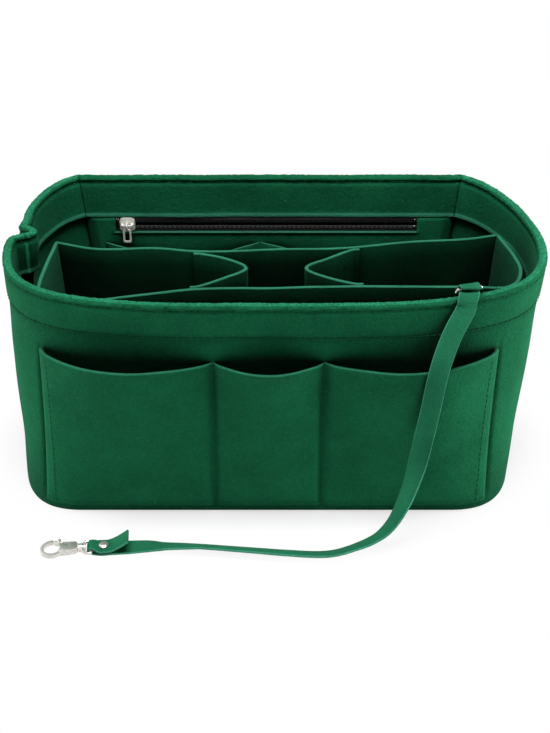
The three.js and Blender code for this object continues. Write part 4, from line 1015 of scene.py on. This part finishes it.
slip_sections, slip_grid = pocket_sections(
    slip_seams, SLIP_BULGE, SLIP_FOOT, slip_top, INNER_FELT, slip_lay, 7.0
)
slip_pocket = green_piece("slip_pocket_felt", loft(slip_sections), lining_felt, "slip_pocket_panel")
# The slip pocket's mouth: paler cut fibres and a painted highlight
show_cut(slip_pocket, slip_sections.shape[1], MOUTH_PLACES, cut_and_highlight_felt)


# Zip tapes: woven ribbons


def tape_ribbon(name, low, high):
    xs = np.linspace(ZIP_LEFT - ZIP_END_LAP, ZIP_RIGHT + ZIP_END_LAP, 90)
    zs = np.linspace(ZIP_Z + low, ZIP_Z + high, 6)
    x, z = np.meshgrid(xs, zs)
    front = back_points(x, z, TAPE_INSET + TAPE_THICKNESS)
    back = back_points(x, z, TAPE_INSET)
    link(name + "_weave", mesh_of(name, *slab(front, back)), "tub", "black_tape", tape, name)


tape_ribbon("zip_tape_upper", TAPE_EDGE, ZIP_WINDOW / 2 - SEAT_GAP / 2)
tape_ribbon("zip_tape_lower", -ZIP_WINDOW / 2 - TAPE_LAP, -TAPE_EDGE)


# Loose divider

DIVIDER_STEPS = 16


def catmull(points, per_span=DIVIDER_STEPS):
    """Centripetal spline through the points."""
    p = np.array(points, float)
    p = np.vstack([2 * p[0] - p[1], p, 2 * p[-1] - p[-2]])
    line = []
    for i in range(len(p) - 3):
        p0, p1, p2, p3 = p[i : i + 4]
        d0, d1, d2 = (math.sqrt(np.linalg.norm(b - a)) for a, b in ((p0, p1), (p1, p2), (p2, p3)))
        t1 = ((p1 - p0) / d0 - (p2 - p0) / (d0 + d1) + (p2 - p1) / d1) * d1
        t2 = ((p2 - p1) / d1 - (p3 - p1) / (d1 + d2) + (p3 - p2) / d2) * d1
        for t in np.linspace(0, 1, per_span, endpoint=False):
            line.append(
                p1 + t1 * t + (-3 * p1 + 3 * p2 - 2 * t1 - t2) * t * t + (2 * p1 - 2 * p2 + t1 + t2) * t**3
            )
    line.append(p[-2])
    return np.array(line)


def on_edge(edge, places):
    """Points from shares of the divider's length and, from an edge, shares of its depth."""
    return [(mix(DIVIDER_LEFT, DIVIDER_RIGHT, share), edge + DIVIDER_DEPTH * out) for share, out in places]


LEFT_CORNER_OUT = -0.09
BACK_LEFT_OUT = 0.2
BACK_RIGHT_OUT = 0.41
divider_back = catmull(on_edge(DIVIDER_BACK, [
    (0, BACK_LEFT_OUT), (0.098, 0.018), (0.224, 0.033), (0.32, -0.056), (0.49, 0), (0.65, 0.056),
    (0.787, 0.222), (0.905, 0.29), (0.976, BACK_RIGHT_OUT),
]))
divider_front = catmull(on_edge(DIVIDER_FRONT, [
    (0.002, LEFT_CORNER_OUT), (0.0275, -0.267), (0.079, -0.344), (0.181, -0.211), (0.309, -0.044),
    (0.49, 0), (0.643, 0.033), (0.866, 0.022), (0.937, 0),
]))
left_end = catmull(
    on_edge(DIVIDER_BACK - PANEL_BUTT, [(0.001, BACK_LEFT_OUT)])
    + on_edge(DIVIDER_FRONT, [(-0.004, 0.41)])
    + on_edge(DIVIDER_FRONT + PANEL_BUTT, [(-0.0024, LEFT_CORNER_OUT)])
)
right_end = catmull(
    on_edge(DIVIDER_BACK - PANEL_BUTT, [(0.9795, BACK_RIGHT_OUT)])
    + on_edge(DIVIDER_FRONT, [(0.997, 0.822), (1, 0.444), (0.984, 0.156), (0.957, 0.018), (0.9355, 0)])
)


def directions(line):
    d = np.gradient(line, axis=0)
    return d / np.linalg.norm(d, axis=1)[:, None]


def beside_panel(line, x, distance):
    k = int(np.argmin(np.abs(line[:, 0] - x)))
    along = directions(line)[k]
    return line[k][0] - along[1] * distance, line[k][1] + along[0] * distance


# A partition's bow as shares of its bulge, and the place of its shoulders as a share of the depth
SHOULDER_BOW = 0.5
MIDDLE_BOW = 0.95
SHOULDER_AT = 0.26


def partition(seam_x, side):
    """A partition's line: along the back panel, bowed across the divider, along the front panel."""
    lap = DIVIDER_FELT + 2 * SEAT_GAP
    middle = (DIVIDER_FRONT + DIVIDER_BACK) / 2
    outer = seam_x + side * PARTITION_FLANGE
    bow = side * PARTITION_BULGE
    fine_back = catmull(divider_back[::4], 20)
    fine_front = catmull(divider_front[::4], 20)
    flange = [outer, (outer + seam_x) / 2, seam_x]
    return catmull([
        *(beside_panel(fine_back, x, -lap) for x in flange),
        (seam_x - bow * SHOULDER_BOW, middle + DIVIDER_DEPTH * SHOULDER_AT),
        (seam_x - bow * MIDDLE_BOW, middle),
        (seam_x - bow * SHOULDER_BOW, middle - DIVIDER_DEPTH * SHOULDER_AT),
        *(beside_panel(fine_front, x, lap) for x in reversed(flange)),
    ])


DIVIDER_ROWS = 14
# Distances below the divider's top edge, and shares of half its thickness
TOP_EDGE = [(0.16, 0.82), (0, 0.4), (0, -0.4), (0.16, -0.82)]
TOP_PLACES = range(DIVIDER_ROWS - 1, DIVIDER_ROWS + len(TOP_EDGE))
TOP_ROUND = 0.5
END_FADE = 8


def strip_rings(line, seed):
    """A felt strip on edge with a softly rounded top, drawn in toward its foot."""
    half = DIVIDER_FELT / 2
    along = directions(line)
    side = np.column_stack([-along[:, 1], along[:, 0]])
    heights = np.linspace(DIVIDER_FOOT, DIVIDER_TOP - TOP_ROUND, DIVIDER_ROWS)
    section = [(half, z) for z in heights]
    section += [(half * part, DIVIDER_TOP - drop) for drop, part in TOP_EDGE]
    section += [(-half, z) for z in heights[::-1]]
    places = np.arange(len(line))
    fade = np.clip(np.minimum(places, places[::-1]) / END_FADE, 0, 1)
    rings = []
    for offset, z in section:
        v = (z - DIVIDER_FOOT) / (DIVIDER_TOP - DIVIDER_FOOT)
        flat = line + side * offset
        lump = uneven(at_height(flat, z), DIVIDER_LUMP_SIZE, DIVIDER_LUMP_HEIGHT, seed) * fade
        flat = (flat + side * lump[:, None]) * mix(DIVIDER_FOOT_SCALE, 1, v)
        rings.append(at_height(flat, z))
    return np.stack(rings, axis=1)


DIVIDER_LINES = {
    "divider_back_panel": divider_back,
    "divider_front_panel": divider_front,
    "divider_left_end": left_end,
    "divider_right_end": right_end,
    "divider_left_partition": partition(DIVIDER_LEFT_SEAM_X, -1),
    "divider_right_partition": partition(DIVIDER_RIGHT_SEAM_X, 1),
}
# The divider takes the darker felt of painted shade
for seed, (node, line) in enumerate(DIVIDER_LINES.items()):
    sections = strip_rings(line, 1.0 + seed)
    panel = green_piece(node + "_felt", loft(sections), inner_shade_felt, node, body="divider")
    # The top edges: paler cut fibres and a painted highlight
    show_cut(panel, sections.shape[1], TOP_PLACES, cut_and_highlight_felt)


# Pieces that keep the frame's own shapes, with rounded edges

SHARP_ANGLE = math.radians(35)
FLAT_ANGLE = math.radians(1.5)


def rounded(node, body, slot_name, material, radius):
    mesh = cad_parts[node].data.copy()
    mesh.materials.clear()
    work = bmesh.new()
    work.from_mesh(mesh)
    bmesh.ops.remove_doubles(work, verts=work.verts, dist=2e-6)
    bmesh.ops.dissolve_limit(work, angle_limit=FLAT_ANGLE, verts=work.verts, edges=work.edges)
    sharp = [e for e in work.edges if len(e.link_faces) == 2 and e.calc_face_angle(0) > SHARP_ANGLE]
    if radius:
        shape = {"segments": 2, "profile": 0.6, "affect": "EDGES", "clamp_overlap": True}
        bmesh.ops.bevel(work, geom=sharp, offset=radius * MM, **shape)
    bmesh.ops.triangulate(work, faces=[f for f in work.faces if len(f.verts) > 4])
    work.to_mesh(mesh)
    work.free()
    mesh.shade_smooth()
    mesh.set_sharp_from_angle(angle=SHARP_ANGLE)
    return link(node + "_finish", mesh, body, slot_name, material, node)


METAL_PIECES = [
    ("zip_slider", "slider", cast_nickel, 0.15),
    ("zip_pull", "pull", cast_nickel, 0.15),
    ("strap_ring", "tub", bright_nickel, 0),
    ("strap_rivet", "tub", satin_nickel, 0),
    ("clasp_eye", "tub", satin_nickel, 0.1),
    ("clasp_hook", "hook", satin_nickel, 0.35),
    ("clasp_gate", "gate", satin_nickel, 0.25),
    ("clasp_gate_pin", "hook", satin_nickel, 0.1),
    ("clasp_gate_spring", "hook", satin_nickel, 0),
    ("zip_end_stop", "tub", bright_nickel, 0.15),
    ("zip_top_stop_upper", "tub", bright_nickel, 0.15),
    ("zip_top_stop_lower", "tub", bright_nickel, 0.15),
]
metal = {
    node: rounded(node, body, "nickel", plate, radius) for node, body, plate, radius in METAL_PIECES
}
for node in ("zip_teeth_upper", "zip_teeth_lower"):
    rounded(node, "tub", "black_teeth", teeth, 0.12)


# Key strap

STRAP_ROUTE = [
    (99.9, -69.3, 137.0), (99.7, -66.4, 136.7), (99.4, -63.7, 136.4), (99.0, -61.6, 134.3),
    (99.3, -63.7, 132.2), (99.4, -65.9, 133.4), (99.2, -68.4, 134.2), (98.5, -71.1, 134.2),
    (97.6, -73.4, 132.2), (97.1, -74.5, 129.0), (90.3, -81.5, 117.8), (84.5, -89.4, 103.6),
    (80.6, -91.8, 76.6), (76.9, -94.0, 52.9), (74.2, -96.0, 40.4), (69.9, -99.5, 27.5),
    (63.9, -103.0, 16.3), (56.2, -104.5, 8.0), (44.1, -108.3, 4.4), (31.7, -111.6, 3.2),
    (10.4, -110.5, 2.6), (-8.4, -108.5, 2.6), (-26.8, -106.5, 2.6), (-36.3, -105.5, 2.4),
    (-54.3, -104.6, 2.2), (-63.5, -104.4, 2.2), (-73.3, -105.2, 2.2), (-83.2, -106.1, 2.2),
    (-93.2, -107.0, 2.2), (-94.9, -107.2, 3.9), (-93.2, -107.0, 5.6), (-91.4, -106.8, 4.9),
    (-89.6, -106.7, 4.0), (-86.8, -106.4, 3.7), (-84.0, -106.2, 3.9), (-79.3, -105.7, 6.0),
    (-73.8, -105.2, 9.8),
]
# Which way the strap's width points, and how wide it is, at places along the route
STRAP_ACROSS = [
    (0, 0.95, 0.31, 0), (7, 0.97, 0.25, 0), (10, 1, 0, -0.1), (12, 0.97, -0.12, -0.2),
    (13, 0.88, -0.4, -0.15), (14, 0.68, -0.72, -0.04), (15, 0.5, -0.86, 0.04), (16, 0.22, -0.96, 0.1),
    (17, 0.08, -0.95, 0.3), (18, 0.12, -0.9, 0.42), (19, 0.03, -0.9, 0.42), (20, -0.06, -0.89, 0.45),
    (21, -0.09, -0.87, 0.48), (22, -0.09, -0.85, 0.5), (23, -0.06, -0.86, 0.5), (24, -0.04, -0.93, 0.36),
    (25, 0, -0.99, 0.12), (26, 0.05, -1, 0), (28, 0.09, -1, 0), (36, 0.09, -1, 0),
]
STRAP_WIDTHS = [
    (0, STRAP_WIDTH), (27.34, STRAP_WIDTH), (28, STRAP_NECK), (30, STRAP_NECK), (32.34, STRAP_WIDTH),
    (36, STRAP_WIDTH),
]
# Places round the strap's section that lie on its cut edges
STRAP_EDGES = {2, 3, 4, 5, 8, 9, 10, 11}
STRAP_FLAT_INSET = 0.25
STRAP_BEND_INSET = 0.04
STRAP_BEND_PART = 0.6
STRAP_STEPS = 10
FLOOR_CLEARANCE = 0.1
strap_line = catmull(STRAP_ROUTE, STRAP_STEPS)


def strap_rings():
    along = directions(strap_line)
    spots = np.arange(len(strap_line)) / STRAP_STEPS
    keys = np.array(STRAP_ACROSS)
    across = between(spots, keys[:, 0], keys[:, 1:])
    across -= along * (across * along).sum(1)[:, None]
    across /= np.linalg.norm(across, axis=1)[:, None]
    face = np.cross(along, across)
    widths = np.array(STRAP_WIDTHS)
    across *= np.interp(spots, widths[:, 0], widths[:, 1])[:, None] / STRAP_WIDTH
    w, t = STRAP_WIDTH / 2, STRAP_THICKNESS / 2
    flat, bend, high = w - STRAP_FLAT_INSET, w - STRAP_BEND_INSET, t * STRAP_BEND_PART
    half = [(-flat, -t), (0, -t), (flat, -t), (bend, -high), (w, 0), (bend, high)]
    section = half + [(-a, -b) for a, b in half]
    rings = np.stack([strap_line + across * a + face * b for a, b in section], axis=1)
    lift = np.maximum(0, FLOOR_CLEARANCE - rings[..., 2].min(axis=1))
    rings[..., 2] += lift[:, None]
    return rings, strap_line + np.outer(lift, (0, 0, 1))


strap_sections, strap_middle = strap_rings()
strap = green_piece("key_strap_felt", loft(strap_sections), strap_felt, "key_strap")
# The strap's cut edges: paler fibres and a painted highlight
show_cut(strap, strap_sections.shape[1], STRAP_EDGES, strap_cut_and_highlight)


# The folded felt tab that holds the ring, in the darker green that paints shade
rounded("strap_ring_tab", "tub", "green_felt", inner_shade_felt, 0.3)


# Stitching

STITCH_ROWS = [
    (RIM_STITCH_Z, RIM_STITCH_INSET, 1),
    (RIM_STITCH_Z, HEM_THICKNESS - RIM_STITCH_INSET, -1),
    (HEM_STITCH_Z, HEM_STITCH_INSET, 1),
]
rim_lines = [wall_line(*row) for row in STITCH_ROWS] + [back_line(*row) for row in STITCH_ROWS]
green_piece("rim_stitches", stitches(rim_lines), thread)

pocket_lines = []
for grid in (front_grid, back_grid):
    pocket_lines += seam_lines(grid, margin=3)
    pocket_lines.append(surface_line(grid, place=1))
green_piece("pocket_stitches", stitches(pocket_lines), thread)
green_piece("slip_pocket_stitches", stitches(seam_lines(slip_grid, margin=2)), thread)


# Floor, light and camera


def aim(thing, place, target):
    thing.location = place
    thing.rotation_euler = (Vector(target) - Vector(place)).to_track_quat("-Z", "Y").to_euler()


def area_light(name, place, target, size, power):
    data = bpy.data.lights.new(name, "AREA")
    data.shape = "RECTANGLE"
    data.size, data.size_y = size
    data.energy = power
    aim(in_scene(name, data), place, target)


area_light("overhead", (0, -0.16, 1.0), (0, -0.02, 0.1), (0.7, 0.25), 12)
area_light("left_box", (-1.2, 0.0, 0.08), (0, 0, 0.07), (0.5, 0.15), 6.5)
area_light("right_box", (1.2, -0.05, 0.08), (0, 0, 0.07), (0.5, 0.15), 12.5)
area_light("front_fill", (0, -1.4, 0.4), (0, 0, 0.04), (1.2, 0.5), 0.35)


def seen_directly(tree):
    """1 for rays from the camera and for those that metal sends on, else 0."""
    path = add(tree, "LightPath")
    total = path.outputs["Is Camera Ray"]
    for name in ("Is Glossy Ray", "Is Transmission Ray"):
        total = combine(tree, "MAXIMUM", total, path.outputs[name])
    return total


def show_mix(tree, first, second, share, output):
    both = add(tree, "MixShader")
    for k, socket in enumerate((share, first, second)):
        tree.links.new(socket, both.inputs[k])
    tree.links.new(both.outputs["Shader"], tree.nodes[output].inputs["Surface"])


# The ground that keeps the shadow: half sizes in metres, the shares of them where it fades, and its glow
SHADOW_REACH = (0.15, 0.105, 1.0)
SHADOW_FADE = (0.82, 1.16)
SHADOW_GLOW = 0.66


def floor_material():
    """White sweep: it shows white to the camera and keeps the object's shadow."""
    material, tree, shader = nodes_of("white_sweep")
    settings(shader, Base_Color=(0.93, 0.93, 0.93, 1), Roughness=0.9, Specular_IOR_Level=0.1)
    glow = add(tree, "Emission", Strength=1.0)
    spread = add(tree, "VectorMath")
    spread.operation = "DIVIDE"
    spread.inputs[1].default_value = SHADOW_REACH
    tree.links.new(object_place(tree), spread.inputs[0])
    away = add(tree, "VectorMath")
    away.operation = "LENGTH"
    tree.links.new(spread.outputs["Vector"], away.inputs[0])
    white = smooth_range(tree, away.outputs["Value"], SHADOW_FADE, (SHADOW_GLOW, 1))
    share = combine(tree, "MULTIPLY", seen_directly(tree), white)
    show_mix(tree, shader.outputs["BSDF"], glow.outputs["Emission"], share, "Material Output")
    return material


FLOOR_HALF = 4.0
corners = [(x * FLOOR_HALF, y * FLOOR_HALF, 0) for x, y in ((-1, -1), (1, -1), (1, 1), (-1, 1))]
floor_mesh = bpy.data.meshes.new("floor")
floor_mesh.from_pydata(corners, [], [(0, 1, 2, 3)])
floor_mesh.materials.append(floor_material())
floor = in_scene("floor", floor_mesh)


def world_light():
    """Faint light from all round, behind which the camera sees white."""
    world = bpy.data.worlds.new("studio")
    world.use_nodes = True
    tree = world.node_tree
    soft = settings(tree.nodes["Background"], Color=(1, 1, 1, 1), Strength=0.05)
    white = add(tree, "Background", Color=(1, 1, 1, 1), Strength=1.0)
    sockets = (node.outputs["Background"] for node in (soft, white))
    show_mix(tree, *sockets, seen_directly(tree), "World Output")
    return world


scene = bpy.context.scene
scene.world = world_light()
scene.view_settings.view_transform = "Standard"

CAMERA_PLACE = (0.0031, -0.5771, 0.4085)
CAMERA_TARGET = (0.0031, 0.0, 0.0488)
camera_data = bpy.data.cameras.new("photo_camera")
camera_data.sensor_width = 36
camera_data.lens = 57.4
camera = in_scene("photo_camera", camera_data)
aim(camera, CAMERA_PLACE, CAMERA_TARGET)
scene.camera = camera
